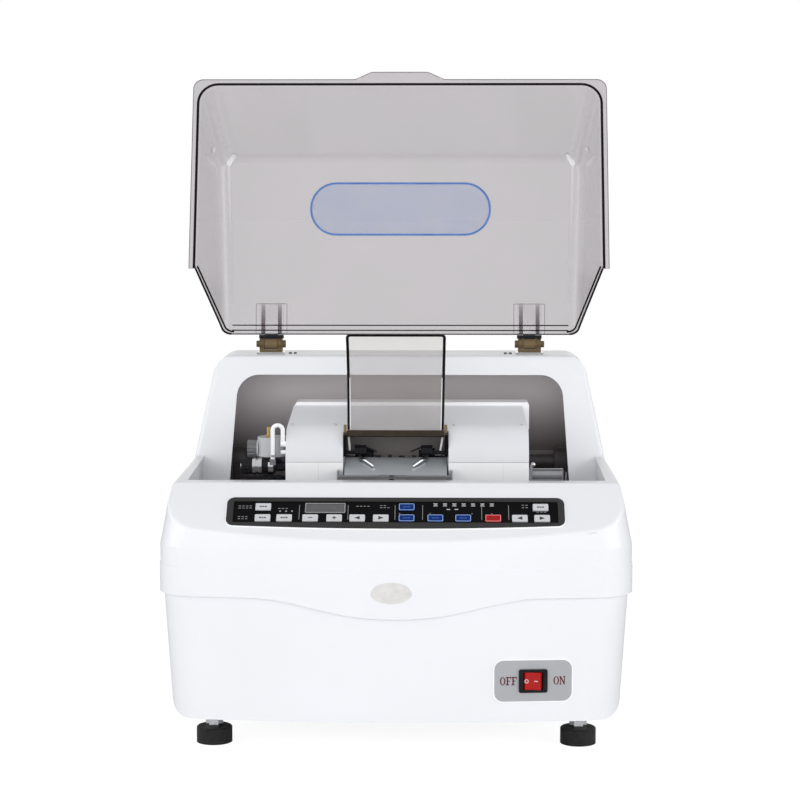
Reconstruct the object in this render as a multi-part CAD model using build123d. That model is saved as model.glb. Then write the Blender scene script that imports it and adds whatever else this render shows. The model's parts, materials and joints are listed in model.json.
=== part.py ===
from build123d import *
import math
import os

# Table-top optical lens edger: bow-fronted case on four levelling feet, hinged smoked
# lid, tilting and sliding lens head over a stack of grinding wheels, and a sloped key
# panel.  Millimetres, +Z up, +X to the operator's right.  While it is modelled, Y is the
# depth behind the front nose of the case and Z is the height above a datum just over the
# floor; write_parts() moves the origin to the middle of the footprint on the floor.

# ------------------------------------------------------------------ driving dimensions
FLOOR_Z = -3.0                # the floor that the feet stand on
CASE_BOTTOM_Z = 33.7          # underside of the case
CREASE_Z = 204.0              # crease between the skirt and the sloping upper sides
NOSE_ROUND = 6.0              # bend between the key panel's slope and the front
RIM_Y, RIM_Z = 65.0, 290.7    # front rim of the trough, top of the slope
HOOD_FOOT_Y = 290.7           # where the hood's leaning face meets the side walls
HOOD_TOP_Y, HOOD_TOP_Z = 334.6, 410.8
CASE_BACK_Y = 422.9
SKIRT_HALF_WIDTH = 262.0
HOOD_HALF_WIDTH = 224.0       # at the hood's top, before its corners are rounded
LOWER_HALF_TOP, LOWER_HALF_BOTTOM = 257.3, 248.5
SKIRT_PROUD = 3.5             # skirt in front of the lower case
FRONT_BOW_RADIUS = 1750.0     # plan curve of the front
WALL = 4.0
TROUGH_FRONT_Y = 82.0
TROUGH_HALF_FRONT, TROUGH_HALF_BACK = 233.5, 238.0
DECK_Z = 257.5                # top of the wet tub's deck
MOVE_GAP = 0.3                # between surfaces that move past each other
RUN_GAP = 0.05                # radial, shaft in bearing

LID_AXIS_Y, LID_AXIS_Z = 350.9, 423.4
LID_OPEN_DEG = 108.2
LID_WALL = 3.0
HINGE_X = 159.0

HEAD_LEFT, HEAD_RIGHT = -131.0, 152.5
BAY_LEFT, BAY_RIGHT = -64.0, 59.0      # lens bay between the head's two arms
HEAD_FRONT_Y, HEAD_BACK_Y = 188.0, 266.0
HEAD_FRAME_BACK_Y = 300.0
HEAD_BOTTOM_Z, HEAD_SEAM_Z, HEAD_TOP_Z = 262.0, 297.5, 356.2
BAY_TOP_Z = 332.0
PIVOT_Y, PIVOT_Z = 350.0, 278.0        # guide shaft the head tilts on
CHUCK_Y, CHUCK_Z = 230.0, 301.0
WHEEL_Y, WHEEL_Z, WHEEL_R = 230.0, 204.0, 60.0
FLAP_Y, FLAP_Z = 202.0, 328.0
FLAP_LEFT, FLAP_RIGHT = -59.4, 53.8

SLOPE_DEG = 40.3
KEY_W, KEY_H = 17.0, 9.5
KEY_GAP = 0.35
KEY_TRAVEL = 0.8
UPPER_ROW_T, LOWER_ROW_T = 37.4, 53.4  # key rows, measured down the slope from the rim

ROCKER_X, ROCKER_Z = 150.8, 80.0
FEET = [(-204.0, 65.8), (204.0, 65.8), (-204.0, 366.0), (204.0, 366.0)]
MOTOR_Y, MOTOR_Z = 358.0, 112.0
PULLEY_X = 92.0
SPINDLE_PULLEY_R, MOTOR_PULLEY_R = 24.0, 30.0
BELT_GAP, BELT_THICK = 0.3, 3.0

FRONT_Y = -SKIRT_PROUD
MIDDLE_Y = (FRONT_Y + CASE_BACK_Y) / 2


# ------------------------------------------------------------------------ shape helpers
def block(x0, x1, y0, y1, z0, z1):
    """Box between two corners."""
    middle = Pos((x0 + x1) / 2, (y0 + y1) / 2, (z0 + z1) / 2)
    return middle * Box(abs(x1 - x0), abs(y1 - y0), abs(z1 - z0))


def rod_x(x0, x1, y, z, r):
    """Round bar along X."""
    return Pos((x0 + x1) / 2, y, z) * Rot(0, 90, 0) * Cylinder(r, abs(x1 - x0))


def rod_y(y0, y1, x, z, r):
    """Round bar along Y."""
    return Pos(x, (y0 + y1) / 2, z) * Rot(90, 0, 0) * Cylinder(r, abs(y1 - y0))


def rod_z(z0, z1, x, y, r):
    """Round bar along Z."""
    return Pos(x, y, (z0 + z1) / 2) * Cylinder(r, abs(z1 - z0))


def polygon(points):
    """Flat face with straight sides."""
    return make_face(Polyline(*points, close=True))


def prism_x(face, x0, x1):
    """Extrude a face drawn as (Y, Z) from x0 to x1."""
    return Pos(x0, 0, 0) * extrude(Plane.YZ * face, amount=x1 - x0)


def prism_y(face, y0, y1):
    """Extrude a face drawn as (X, Z) from y0 to y1."""
    return Pos(0, y0, 0) * extrude(Plane.XZ * face, amount=y0 - y1)


def prism_z(face, z0, z1):
    """Extrude a face drawn as (X, Y) from z0 to z1."""
    return Pos(0, 0, z0) * extrude(face, amount=z1 - z0)


def hex_z(x, y, z0, z1, across):
    """Hexagonal bar along Z, sized across its flats."""
    return Pos(x, y, z0) * extrude(RegularPolygon(across / 2, 6, major_radius=False), amount=z1 - z0)


def corners_near(face, test, radius):
    """Round the corners of a face whose (x, y) passes the test."""
    chosen = [v for v in face.vertices() if test(v.X, v.Y)]
    return fillet(chosen, radius) if chosen else face


def group(solids):
    """Several solids as one named piece."""
    return Compound(children=[s for s in solids])


def slope_frame(x, t, n=0.0):
    """Frame on the key panel: x across, t down the slope from the rim, n above it."""
    a = math.radians(SLOPE_DEG)
    plane = Plane(origin=(0, RIM_Y, RIM_Z), x_dir=(1, 0, 0), z_dir=(0, -math.sin(a), math.cos(a)))
    return plane.location * Pos(x, -t, n)


def slope_box(x, t, n0, n1, width, height, radius=0.0):
    """Box standing on the key panel's slope, between two heights above it."""
    face = RectangleRounded(width, height, radius) if radius else Rectangle(width, height)
    return slope_frame(x, t, n0) * extrude(face, amount=n1 - n0)


def hood_face_y(z):
    """Depth of the hood's leaning face at a height."""
    lean = (HOOD_TOP_Y - HOOD_FOOT_Y) / (HOOD_TOP_Z - RIM_Z)
    return HOOD_FOOT_Y + (z - RIM_Z) * lean


# --------------------------------------------------------------------------- the casing
def bowed_plan(half, front, back, r_front, r_back, z):
    """Plan outline of the case: straight sides and back, bowed front, rounded corners."""
    sag = half * half / (2 * FRONT_BOW_RADIUS)
    bow = ThreePointArc((-half, front + sag), (0, front), (half, front + sag))
    sides = Polyline((half, front + sag), (half, back), (-half, back), (-half, front + sag))
    face = make_face([bow] + list(sides.edges()))
    face = fillet(face.vertices().sort_by(Axis.Y)[:2], r_front)
    face = fillet(face.vertices().sort_by(Axis.Y)[-2:], r_back)
    return Pos(0, 0, z) * face


def side_profile(inset):
    """Side view of the upper cover: slope, side-wall top, leaning hood face, hood top."""
    low = 100.0
    slope_run = math.cos(math.radians(SLOPE_DEG)) * 130.0
    slope_drop = math.sin(math.radians(SLOPE_DEG)) * 130.0
    face = polygon([
        (RIM_Y - slope_run, low), (RIM_Y - slope_run, RIM_Z - slope_drop), (RIM_Y, RIM_Z),
        (HOOD_FOOT_Y, RIM_Z), (HOOD_TOP_Y, HOOD_TOP_Z), (CASE_BACK_Y + 40, HOOD_TOP_Z),
        (CASE_BACK_Y + 40, low)])
    face = corners_near(face, lambda y, z: abs(y - HOOD_TOP_Y) < 1 and z > 400, 8)
    face = corners_near(face, lambda y, z: abs(y - RIM_Y) < 1 and z > 280, 6)
    face = corners_near(face, lambda y, z: abs(y - HOOD_FOOT_Y) < 1 and z > 280, 6)
    if inset:
        face = offset(face, amount=-inset)
    return extrude(Plane.YZ * face, amount=320, both=True)


def front_mask(inset):
    """Front view of the upper cover, with the hood's rounded upper corners."""
    face = polygon([(-330, 100), (-330, 170), (-262.5, 225), (-HOOD_HALF_WIDTH, HOOD_TOP_Z),
                    (HOOD_HALF_WIDTH, HOOD_TOP_Z), (262.5, 225), (330, 170), (330, 100)])
    face = corners_near(face, lambda x, z: z > 400, 26)
    if inset:
        face = offset(face, amount=-inset)
    return extrude(Plane.XZ * face, amount=600, both=True)


def upper_form(inset):
    """Solid of the upper cover, inset by a wall."""
    half = SKIRT_HALF_WIDTH - inset
    front, back = FRONT_Y + inset, CASE_BACK_Y - inset
    skirt = extrude(bowed_plan(half, front, back, 45 - inset, 30 - inset, 140), amount=CREASE_Z - 140)
    belt = extrude(bowed_plan(half - 0.8, front + 0.8, back - 0.8, 44 - inset, 29 - inset, CREASE_Z),
                   amount=21)
    upper = loft([
        bowed_plan(half - 0.8, front + 0.8, back - 0.8, 44 - inset, 29 - inset, CREASE_Z + 21),
        bowed_plan(HOOD_HALF_WIDTH - inset, front + 9, back - 3, 30 - inset, 26 - inset, 414)],
        ruled=True) & side_profile(inset)
    if not inset:
        upper = fillet(nose_edges(upper), NOSE_ROUND)
    return ((skirt + belt) & side_profile(inset)) + (upper & front_mask(inset))


def nose_edges(upper):
    """Edges of the bend between the key panel's slope and the front, with its two corners."""
    return [e for e in upper.edges() if e.center().Y < 40 and 230 < e.center().Z < 262
            and e.bounding_box().size.X > 15]


def wave_cutter():
    """Everything below the skirt's wavy lower edge."""
    edge_z = 172.0
    below = block(-300, 300, -60, 480, 100, edge_z)
    half = [(0, 149.6), (67, 155.9), (102, 164.1), (135, 170.2), (172, edge_z)]
    points = [(-x, z) for x, z in half[:0:-1]] + half
    wave = Spline(*points, tangents=[(1, 0), (1, 0)])
    end = half[-1][0]
    top = Polyline((end, edge_z), (end, edge_z + 1), (-end, edge_z + 1), (-end, edge_z))
    lobe = make_face([wave] + list(top.edges()))
    return below - prism_y(lobe, -70, 60)


def trough_plan(grow):
    """Plan of the trough, a little wider at the back."""
    return polygon([(-TROUGH_HALF_FRONT - grow, TROUGH_FRONT_Y - grow),
                    (TROUGH_HALF_FRONT + grow, TROUGH_FRONT_Y - grow),
                    (TROUGH_HALF_BACK + grow, 345), (-TROUGH_HALF_BACK - grow, 345)])


def trough_space(grow, z0):
    """The trough in front of the hood's leaning face, grown by a wall."""
    shape = prism_z(trough_plan(grow), z0, 460)
    ahead = polygon([(TROUGH_FRONT_Y - 10, z0), (TROUGH_FRONT_Y - 10, 460),
                     (hood_face_y(460) + grow, 460), (hood_face_y(z0) + grow, z0)])
    return shape & prism_x(ahead, -300, 300)


def hood_opening():
    """Rounded opening in the hood's leaning face, open at its foot."""
    top_z, half_top, half_foot = 387.5, 197.5, 205.0
    face = polygon([(-half_foot, 240), (-half_foot, 259), (-half_top, top_z), (half_top, top_z),
                    (half_foot, 259), (half_foot, 240)])
    face = corners_near(face, lambda x, z: z > 380, 27)
    return prism_y(face, 262, 345)


def make_upper_cover():
    """White shell of the nose, trough walls and hood, down to the skirt's wavy edge."""
    trough_walls = trough_space(WALL, DECK_Z) & block(-300, 300, 0, 345, DECK_Z, 460)
    cavity = upper_form(WALL) - trough_walls
    shell = upper_form(0) - cavity - trough_space(0, 240)
    shell = shell - hood_opening() - wave_cutter()
    shell = shell - slope_box(0, 44.7, -9, 8, 357, 31.6, 2)
    return shell


def lower_form(inset):
    """Solid of the lower case, with the tongue that the upper cover's skirt overlaps."""
    top_z = 200.0
    join_z = 172.0
    half_top, half_bottom = LOWER_HALF_TOP - inset, LOWER_HALF_BOTTOM - inset
    front = 0.8 + inset
    body = loft([bowed_plan(half_bottom, front + 3, CASE_BACK_Y - 7 - inset, 42 - inset, 26 - inset,
                            CASE_BOTTOM_Z),
                 bowed_plan(half_top, front, CASE_BACK_Y - 4.8 - inset, 42 - inset, 26 - inset, join_z)],
                ruled=True)
    tongue = extrude(bowed_plan(half_top, front, CASE_BACK_Y - 4.8 - inset, 42 - inset, 26 - inset,
                                join_z), amount=top_z - join_z)
    return body + tongue


def corner_mask(inset):
    """Front view of the lower case with its rounded bottom corners."""
    half = LOWER_HALF_BOTTOM - inset
    z0 = CASE_BOTTOM_Z + inset
    lean = (LOWER_HALF_TOP - LOWER_HALF_BOTTOM) / (172.0 - CASE_BOTTOM_Z)
    up = 260.0
    face = polygon([(-half, z0), (half, z0), (half + lean * (up - z0) + 2, up),
                    (-half - lean * (up - z0) - 2, up)])
    face = corners_near(face, lambda x, z: z < 60, 20 - inset)
    return prism_y(face, -60, 480)


SWITCH_TURN = math.degrees(ROCKER_X / FRONT_BOW_RADIUS)
SWITCH_Y = 3.1 + ROCKER_X ** 2 / (2 * FRONT_BOW_RADIUS)


def switch_frame(depth=0.0):
    """Frame on the case front at the mains switch: x across, y up, z out of the case."""
    lean = 1.2
    base = Pos(ROCKER_X, SWITCH_Y, ROCKER_Z) * Rot(0, 0, SWITCH_TURN) * Rot(90 + lean, 0, 0)
    return base * Pos(0, 0, depth)


def switch_box(width, height, n0, n1, radius=0.0):
    """Box standing on the switch frame, between two heights above it."""
    face = RectangleRounded(width, height, radius) if radius else Rectangle(width, height)
    return switch_frame(n0) * extrude(face, amount=n1 - n0)


REAR_PANEL_HALF, REAR_PANEL_Z0, REAR_PANEL_Z1 = 190.0, 58.0, 164.0
REAR_PANEL_Y = CASE_BACK_Y - 16.0


def make_lower_case():
    """White lower case, open at the back for the rear panel."""
    outer = lower_form(0) & corner_mask(0)
    inner = lower_form(WALL) & corner_mask(WALL)
    inner = inner & block(-300, 300, -60, 480, CASE_BOTTOM_Z + WALL, 260)
    shell = outer - inner - (lower_form(WALL) & block(-300, 300, -60, 480, 190, 260))
    shell = shell - block(-REAR_PANEL_HALF, REAR_PANEL_HALF, 400, 440, REAR_PANEL_Z0, REAR_PANEL_Z1)
    shell = shell - switch_box(85.5, 46.0, -1.2, 8, 10) - switch_box(28.5, 22.9, -30, 8)
    for x, y in FEET:
        shell = shell - rod_z(20, 50, x, y, 5.3)
    return shell


def make_base_plate():
    """Steel floor of the case, lying on its bottom wall, drilled for the four studs."""
    z0 = CASE_BOTTOM_Z + WALL
    plate = Pos(0, 212, z0) * extrude(RectangleRounded(452, 350, 20), amount=3)
    for x, y in FEET:
        plate = plate - rod_z(z0 - 1, z0 + 5, x, y, 5.3)
    return plate


def make_rear_panel():
    """Steel service panel closing the back, with louvres and cut-outs."""
    thick = 2.0
    half = REAR_PANEL_HALF - MOVE_GAP
    z0, z1 = REAR_PANEL_Z0 + MOVE_GAP, REAR_PANEL_Z1 - MOVE_GAP
    panel = block(-half, half, REAR_PANEL_Y, REAR_PANEL_Y + thick, z0, z1)
    for x0, x1, za, zb in ((-half, half, z0, z0 + thick), (-half, half, z1 - thick, z1),
                           (-half, -half + thick, z0, z1), (half - thick, half, z0, z1)):
        panel = panel + block(x0, x1, REAR_PANEL_Y, CASE_BACK_Y - 8, za, zb)
    for row in range(6):
        z = z0 + 22 + row * 11
        panel = panel - block(-60, 40, REAR_PANEL_Y - 2, REAR_PANEL_Y + 5, z, z + 4.5)
    panel = panel - block(110, 138, REAR_PANEL_Y - 2, REAR_PANEL_Y + 5, 78, 98)
    for x in (-150, -110):
        panel = panel - rod_y(REAR_PANEL_Y - 2, REAR_PANEL_Y + 5, x, 90, 7)
    return panel


def make_power_inlet():
    """Mains inlet with a recessed pin bay, flush in the rear panel."""
    body = block(110.3, 137.7, REAR_PANEL_Y - 20, REAR_PANEL_Y + 2, 78.3, 97.7)
    flange = block(100, 148, REAR_PANEL_Y + 2, REAR_PANEL_Y + 4.5, 74, 102)
    inlet = body + flange - block(113, 135, REAR_PANEL_Y - 14, REAR_PANEL_Y + 6, 80.5, 95.5)
    for x in (117, 124, 131):
        inlet = inlet + block(x - 1, x + 1, REAR_PANEL_Y - 14.5, REAR_PANEL_Y - 1, 86, 90)
    return inlet


def make_water_fittings():
    """Hose spigots for clean water in and drain out, through the rear panel."""
    fittings = []
    for x in (-150, -110):
        spigot = rod_y(REAR_PANEL_Y - 16, REAR_PANEL_Y + 15, x, 90, 6.7)
        spigot = spigot + rod_y(REAR_PANEL_Y + 2, REAR_PANEL_Y + 5, x, 90, 11)
        spigot = spigot - rod_y(REAR_PANEL_Y - 20, REAR_PANEL_Y + 18, x, 90, 4)
        fittings.append(spigot)
    return group(fittings)


PAD_R, PAD_TOP_Z = 20.0, FLOOR_Z + 18.0


def make_foot_pads():
    """Rubber pads, each with a blind bore for its stud."""
    pads = []
    for x, y in FEET:
        pad = rod_z(FLOOR_Z, PAD_TOP_Z, x, y, PAD_R)
        pad = chamfer(pad.edges().sort_by(Axis.Z)[-1], 1.2)
        pads.append(pad - rod_z(FLOOR_Z + 6, PAD_TOP_Z + 2, x, y, 5.0))
    return group(pads)


def make_levelling_studs():
    """Threaded stud of each foot, with a nut on the pad, one under the case, one inside."""
    inside = CASE_BOTTOM_Z + WALL + 3
    pieces = []
    for x, y in FEET:
        pieces.append(rod_z(FLOOR_Z + 6, CASE_BOTTOM_Z + 28, x, y, 5.0))
        for z0 in (PAD_TOP_Z, CASE_BOTTOM_Z - 8, inside):
            pieces.append(hex_z(x, y, z0, z0 + 8, 17) - rod_z(z0 - 1, z0 + 9, x, y, 5.0))
    return group(pieces)


# ------------------------------------------------------------------- wet chamber
WELL = (-62.0, 62.0, 160.0, 300.0, 128.0)      # grinding well: x0, x1, y0, y1, floor z


def make_wet_tub():
    """Dark tub: deck under the trough, upstand inside the hood, well for the wheels."""
    deck_half, back, sheet = 242.0, 402.0, 3.0
    in_hood = 215.0
    x0, x1, y0, y1, floor_z = WELL
    deck_z = DECK_Z - sheet
    tub = block(-deck_half, deck_half, 76, back, deck_z, DECK_Z)
    upstand = block(-in_hood, in_hood, 300, back, DECK_Z, 286)
    tub = tub + (upstand - block(-in_hood + sheet, in_hood - sheet, 280, back - sheet, 250, 290))
    well = block(x0 - sheet, x1 + sheet, y0 - sheet, y1 + sheet, floor_z, deck_z)
    tub = tub + well - block(x0, x1, y0, y1, floor_z + sheet, 300)
    shaft_r = 14.0
    tub = tub - rod_x(x0 - 5, x1 + 5, WHEEL_Y, WHEEL_Z, shaft_r)
    return tub - rod_z(floor_z - 2, floor_z + 6, -40, 285, 7)


def make_hood_liner():
    """Grey splash liner inside the hood, above the tub's upstand."""
    half, top_z, back, sheet, z0 = 215.0, 404.0, 402.0, 2.5, 286.0

    def form(inset):
        face = polygon([(-half + inset, z0), (half - inset, z0), (half - 6 - inset, top_z - inset),
                        (-half + 6 + inset, top_z - inset)])
        face = corners_near(face, lambda x, z: z > 390, 26 - inset)
        lean = polygon([(hood_face_y(z0) + 6 - inset * 4, z0), (hood_face_y(top_z) + 6 - inset * 4, top_z),
                        (back - inset, top_z), (back - inset, z0)])
        return prism_y(face, 270, 440) & prism_x(lean, -300, 300)
    return form(0) - form(sheet)


def make_drive_motor():
    """Motor body with its end boss and two cast feet."""
    motor = rod_x(-70, 70, MOTOR_Y, MOTOR_Z, 48) + rod_x(70, 84, MOTOR_Y, MOTOR_Z, 22)
    motor = motor - rod_x(-80, 90, MOTOR_Y, MOTOR_Z, 8 + RUN_GAP)
    foot_z = CASE_BOTTOM_Z + WALL + 3
    feet = block(-60, -30, 318, 386, foot_z, 70) + block(30, 60, 318, 386, foot_z, 70)
    return motor + (feet - rod_x(-90, 90, MOTOR_Y, MOTOR_Z, 46))


def make_power_supply():
    """Transformer and its steel frame, on the floor plate at the left."""
    z0 = CASE_BOTTOM_Z + WALL + 3
    core = block(-190, -110, 90, 160, z0 + 6, z0 + 72)
    coil = block(-178, -122, 76, 174, z0 + 16, z0 + 60)
    tray = block(-200, -100, 84, 166, z0, z0 + 6)
    return core + coil + tray


def make_spindle_housing():
    """Cast pedestals carrying the grinding spindle on either side of the well."""
    z0 = CASE_BOTTOM_Z + WALL + 3
    pedestals = []
    for x0, x1 in ((-82, -66), (66, 82)):
        web = polygon([(195, z0), (265, z0), (252, WHEEL_Z), (208, WHEEL_Z)])
        pedestal = prism_x(web, x0, x1) + rod_x(x0, x1, WHEEL_Y, WHEEL_Z, 24)
        pedestals.append(pedestal - rod_x(x0 - 2, x1 + 2, WHEEL_Y, WHEEL_Z, 8 + RUN_GAP))
    return group(pedestals)


def pulley(y, z, r, bore_r):
    """Flanged belt pulley on an X shaft."""
    rim = rod_x(PULLEY_X - 8, PULLEY_X - 6, y, z, r + 4) + rod_x(PULLEY_X + 6, PULLEY_X + 8, y, z, r + 4)
    return rim + rod_x(PULLEY_X - 7, PULLEY_X + 7, y, z, r) - rod_x(70, 120, y, z, bore_r)


def make_spindle():
    """Grinding spindle with its belt pulley."""
    return group([rod_x(-84, 104, WHEEL_Y, WHEEL_Z, 8), pulley(WHEEL_Y, WHEEL_Z, SPINDLE_PULLEY_R, 8)])


def make_motor_rotor():
    """Motor shaft with its belt pulley."""
    return group([rod_x(-66, 104, MOTOR_Y, MOTOR_Z, 8), pulley(MOTOR_Y, MOTOR_Z, MOTOR_PULLEY_R, 8)])


def make_grinding_wheels():
    """Rough, bevel and polish wheels clamped side by side on the spindle."""
    wheels = []
    bore = rod_x(-60, 60, WHEEL_Y, WHEEL_Z, 8)
    for x0, x1 in ((-38, -14), (2, 16), (18, 34)):
        wheels.append(rod_x(x0, x1, WHEEL_Y, WHEEL_Z, WHEEL_R) - bore)
    bevel = rod_x(-12, 0, WHEEL_Y, WHEEL_Z, WHEEL_R)
    groove = polygon([(-8.5, WHEEL_R + 1), (-3.5, WHEEL_R + 1), (-6, WHEEL_R - 2.5)])
    turned = revolve(Plane.XZ * groove, axis=Axis.X)
    wheels.append(bevel - Pos(0, WHEEL_Y, WHEEL_Z) * turned - bore)
    return group(wheels)


def make_drive_belt():
    """Flat belt from the motor to the spindle, as a closed loop."""
    def loop(extra):
        dy, dz = MOTOR_Y - WHEEL_Y, MOTOR_Z - WHEEL_Z
        far = math.hypot(dy, dz)
        angle = math.atan2(dz, dy)
        skew = math.asin((MOTOR_PULLEY_R - SPINDLE_PULLEY_R) / far)
        points = []
        for side in (1, -1):
            turn = angle + side * (math.pi / 2 + skew)
            near_r, far_r = SPINDLE_PULLEY_R + extra, MOTOR_PULLEY_R + extra
            points.append(((WHEEL_Y + near_r * math.cos(turn), WHEEL_Z + near_r * math.sin(turn)),
                           (MOTOR_Y + far_r * math.cos(turn), MOTOR_Z + far_r * math.sin(turn))))
        (a, b), (d, c) = points
        band = polygon([a, b, c, d])
        shape = prism_x(band, PULLEY_X - 5, PULLEY_X + 5)
        shape = shape + rod_x(PULLEY_X - 5, PULLEY_X + 5, WHEEL_Y, WHEEL_Z, SPINDLE_PULLEY_R + extra)
        return shape + rod_x(PULLEY_X - 5, PULLEY_X + 5, MOTOR_Y, MOTOR_Z, MOTOR_PULLEY_R + extra)
    return loop(BELT_GAP + BELT_THICK) - loop(BELT_GAP)


def make_guide_shaft():
    """Ground shaft across the hood that carries the head, in two end brackets."""
    shaft = rod_x(-204, 204, PIVOT_Y, PIVOT_Z, 9)
    for side in (-1, 1):
        inner, outer = sorted((side * 190, side * 206))
        bracket = block(inner, outer, PIVOT_Y - 18, PIVOT_Y + 18, DECK_Z, PIVOT_Z)
        shaft = shaft + bracket + rod_x(inner, outer, PIVOT_Y, PIVOT_Z, 18)
    return shaft


# ------------------------------------------------------------------------- key panel
KEYS = {
    "key_left_top": (-145.3, UPPER_ROW_T), "key_left_low": (-145.3, LOWER_ROW_T),
    "key_left_inner": (-121.7, LOWER_ROW_T), "key_minus": (-93.2, LOWER_ROW_T),
    "key_plus": (-66.9, LOWER_ROW_T), "key_back": (-41.7, LOWER_ROW_T),
    "key_forward": (-15.9, LOWER_ROW_T), "key_blue_top": (12.3, UPPER_ROW_T),
    "key_blue_low": (12.3, LOWER_ROW_T), "key_blue_middle": (43.8, LOWER_ROW_T),
    "key_blue_right": (74.2, LOWER_ROW_T), "key_red": (107.0, LOWER_ROW_T),
    "key_nudge_left": (136.1, LOWER_ROW_T), "key_nudge_right": (160.4, LOWER_ROW_T),
    "key_right_top": (159.1, UPPER_ROW_T)}
PANEL_MID_T, PANEL_W, PANEL_H = 44.7, 357.0, 31.6
BEZEL_W, BEZEL_TOP_T, BEZEL_END_T, BEZEL_MID_T = 370.7, 23.8, 64.0, 68.6
WINDOW_X, WINDOW_T, WINDOW_W, WINDOW_H = -77.1, 38.6, 43.2, 13.0


def make_panel_bezel():
    """Raised frame round the keys; its lower edge bows down in the middle."""
    half = BEZEL_W / 2
    bow = ThreePointArc((-half, -BEZEL_END_T), (0, -BEZEL_MID_T), (half, -BEZEL_END_T))
    rest = Polyline((half, -BEZEL_END_T), (half, -BEZEL_TOP_T), (-half, -BEZEL_TOP_T), (-half, -BEZEL_END_T))
    face = make_face([bow] + list(rest.edges()))
    face = fillet(face.vertices(), 9)
    face = face - Pos(0, -PANEL_MID_T) * RectangleRounded(PANEL_W, PANEL_H, 2)
    return slope_frame(0, 0) * extrude(face, amount=1.5)


def make_panel_face():
    """Black plate with a window for every key and for the display."""
    plate = slope_box(0, PANEL_MID_T, -3, 0.5, PANEL_W, PANEL_H, 2)
    for x, t in KEYS.values():
        plate = plate - slope_box(x, t, -5, 3, KEY_W + 2 * KEY_GAP, KEY_H + 2 * KEY_GAP)
    return plate - slope_box(WINDOW_X, WINDOW_T, -5, 3, WINDOW_W, WINDOW_H)


def make_display_window():
    """Dark display window."""
    return slope_box(WINDOW_X, WINDOW_T, -2.5, 0.3, WINDOW_W, WINDOW_H)


def make_key(name):
    """Key cap with a retaining rim behind the panel."""
    x, t = KEYS[name]
    cap = slope_box(x, t, -3.3, 1.6, KEY_W, KEY_H, 1.2)
    return cap + slope_box(x, t, -4.3, -3.3, KEY_W + 1.6, KEY_H + 1.6)


def make_control_board():
    """Circuit board under the keys, with a switch under each key and the display module."""
    board = slope_box(0, PANEL_MID_T, -12, -10.4, 344, 40)
    for x, t in KEYS.values():
        board = board + slope_box(x, t, -10.4, -4.3 - KEY_TRAVEL - 0.2, 6, 6)
    return board + slope_box(WINDOW_X, WINDOW_T, -10.4, -2.5, WINDOW_W - 2, WINDOW_H - 1)


# ---------------------------------------------------------------------- mains switch
ROCKER_PIVOT_DEPTH = -3.0
ROCKER_R = 10.6
ROCKER_TILT = 8.0


def make_switch_plate():
    """Grey plate let into the case round the mains switch."""
    return switch_box(85.5, 46.0, -1.2, 0.8, 10) - switch_box(28.5, 22.9, -5, 5)


def make_rocker_bezel():
    """Black frame and body of the mains switch."""
    flange = switch_box(31.4, 25.8, 0.8, 3.0, 2)
    body = switch_box(28.3, 22.7, -18, 0.8)
    return flange + body - switch_box(22.0, 20.0, -16, 5)


def make_rocker():
    """Red rocker that turns about an upright pin; its two faces meet in a shallow vee."""
    drum = Circle(ROCKER_R) & (Pos(0, 1) * Rectangle(2 * ROCKER_R, 14))
    vee = polygon([(-11, 10), (-11, 7.6), (0, 5.6), (11, 7.6), (11, 10)])
    face = drum - vee
    body = extrude(face, amount=9.6, both=True)
    turn = Rot(0, 0, -ROCKER_TILT)
    lay = switch_frame(ROCKER_PIVOT_DEPTH) * Rot(90, 0, 0)
    return lay * Rot(0, 0, 180) * Rot(180, 0, 0) * turn * body


# ------------------------------------------------------------------------------- lid
LID_FRONT_Y, LID_RIM_Z = 54.8, 293.7
LID_TAB_Y = 45.4                       # front of the finger tab
LID_BACK_Y = 291.0
LID_CREASE_Y, LID_CREASE_Z = 122.4, 385.7
LID_EDGE_Y, LID_EDGE_Z = 339.0, 424.3
LID_FLANGE = 6.6
LID_HALF_RIM, LID_HALF_TOP = 248.7, 217.0


def opened(shape):
    """Turn a shape modelled on the closed lid to the lid's open rest position."""
    axis = Pos(0, LID_AXIS_Y, LID_AXIS_Z)
    return axis * Rot(-LID_OPEN_DEG, 0, 0) * Pos(0, -LID_AXIS_Y, -LID_AXIS_Z) * shape


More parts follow.
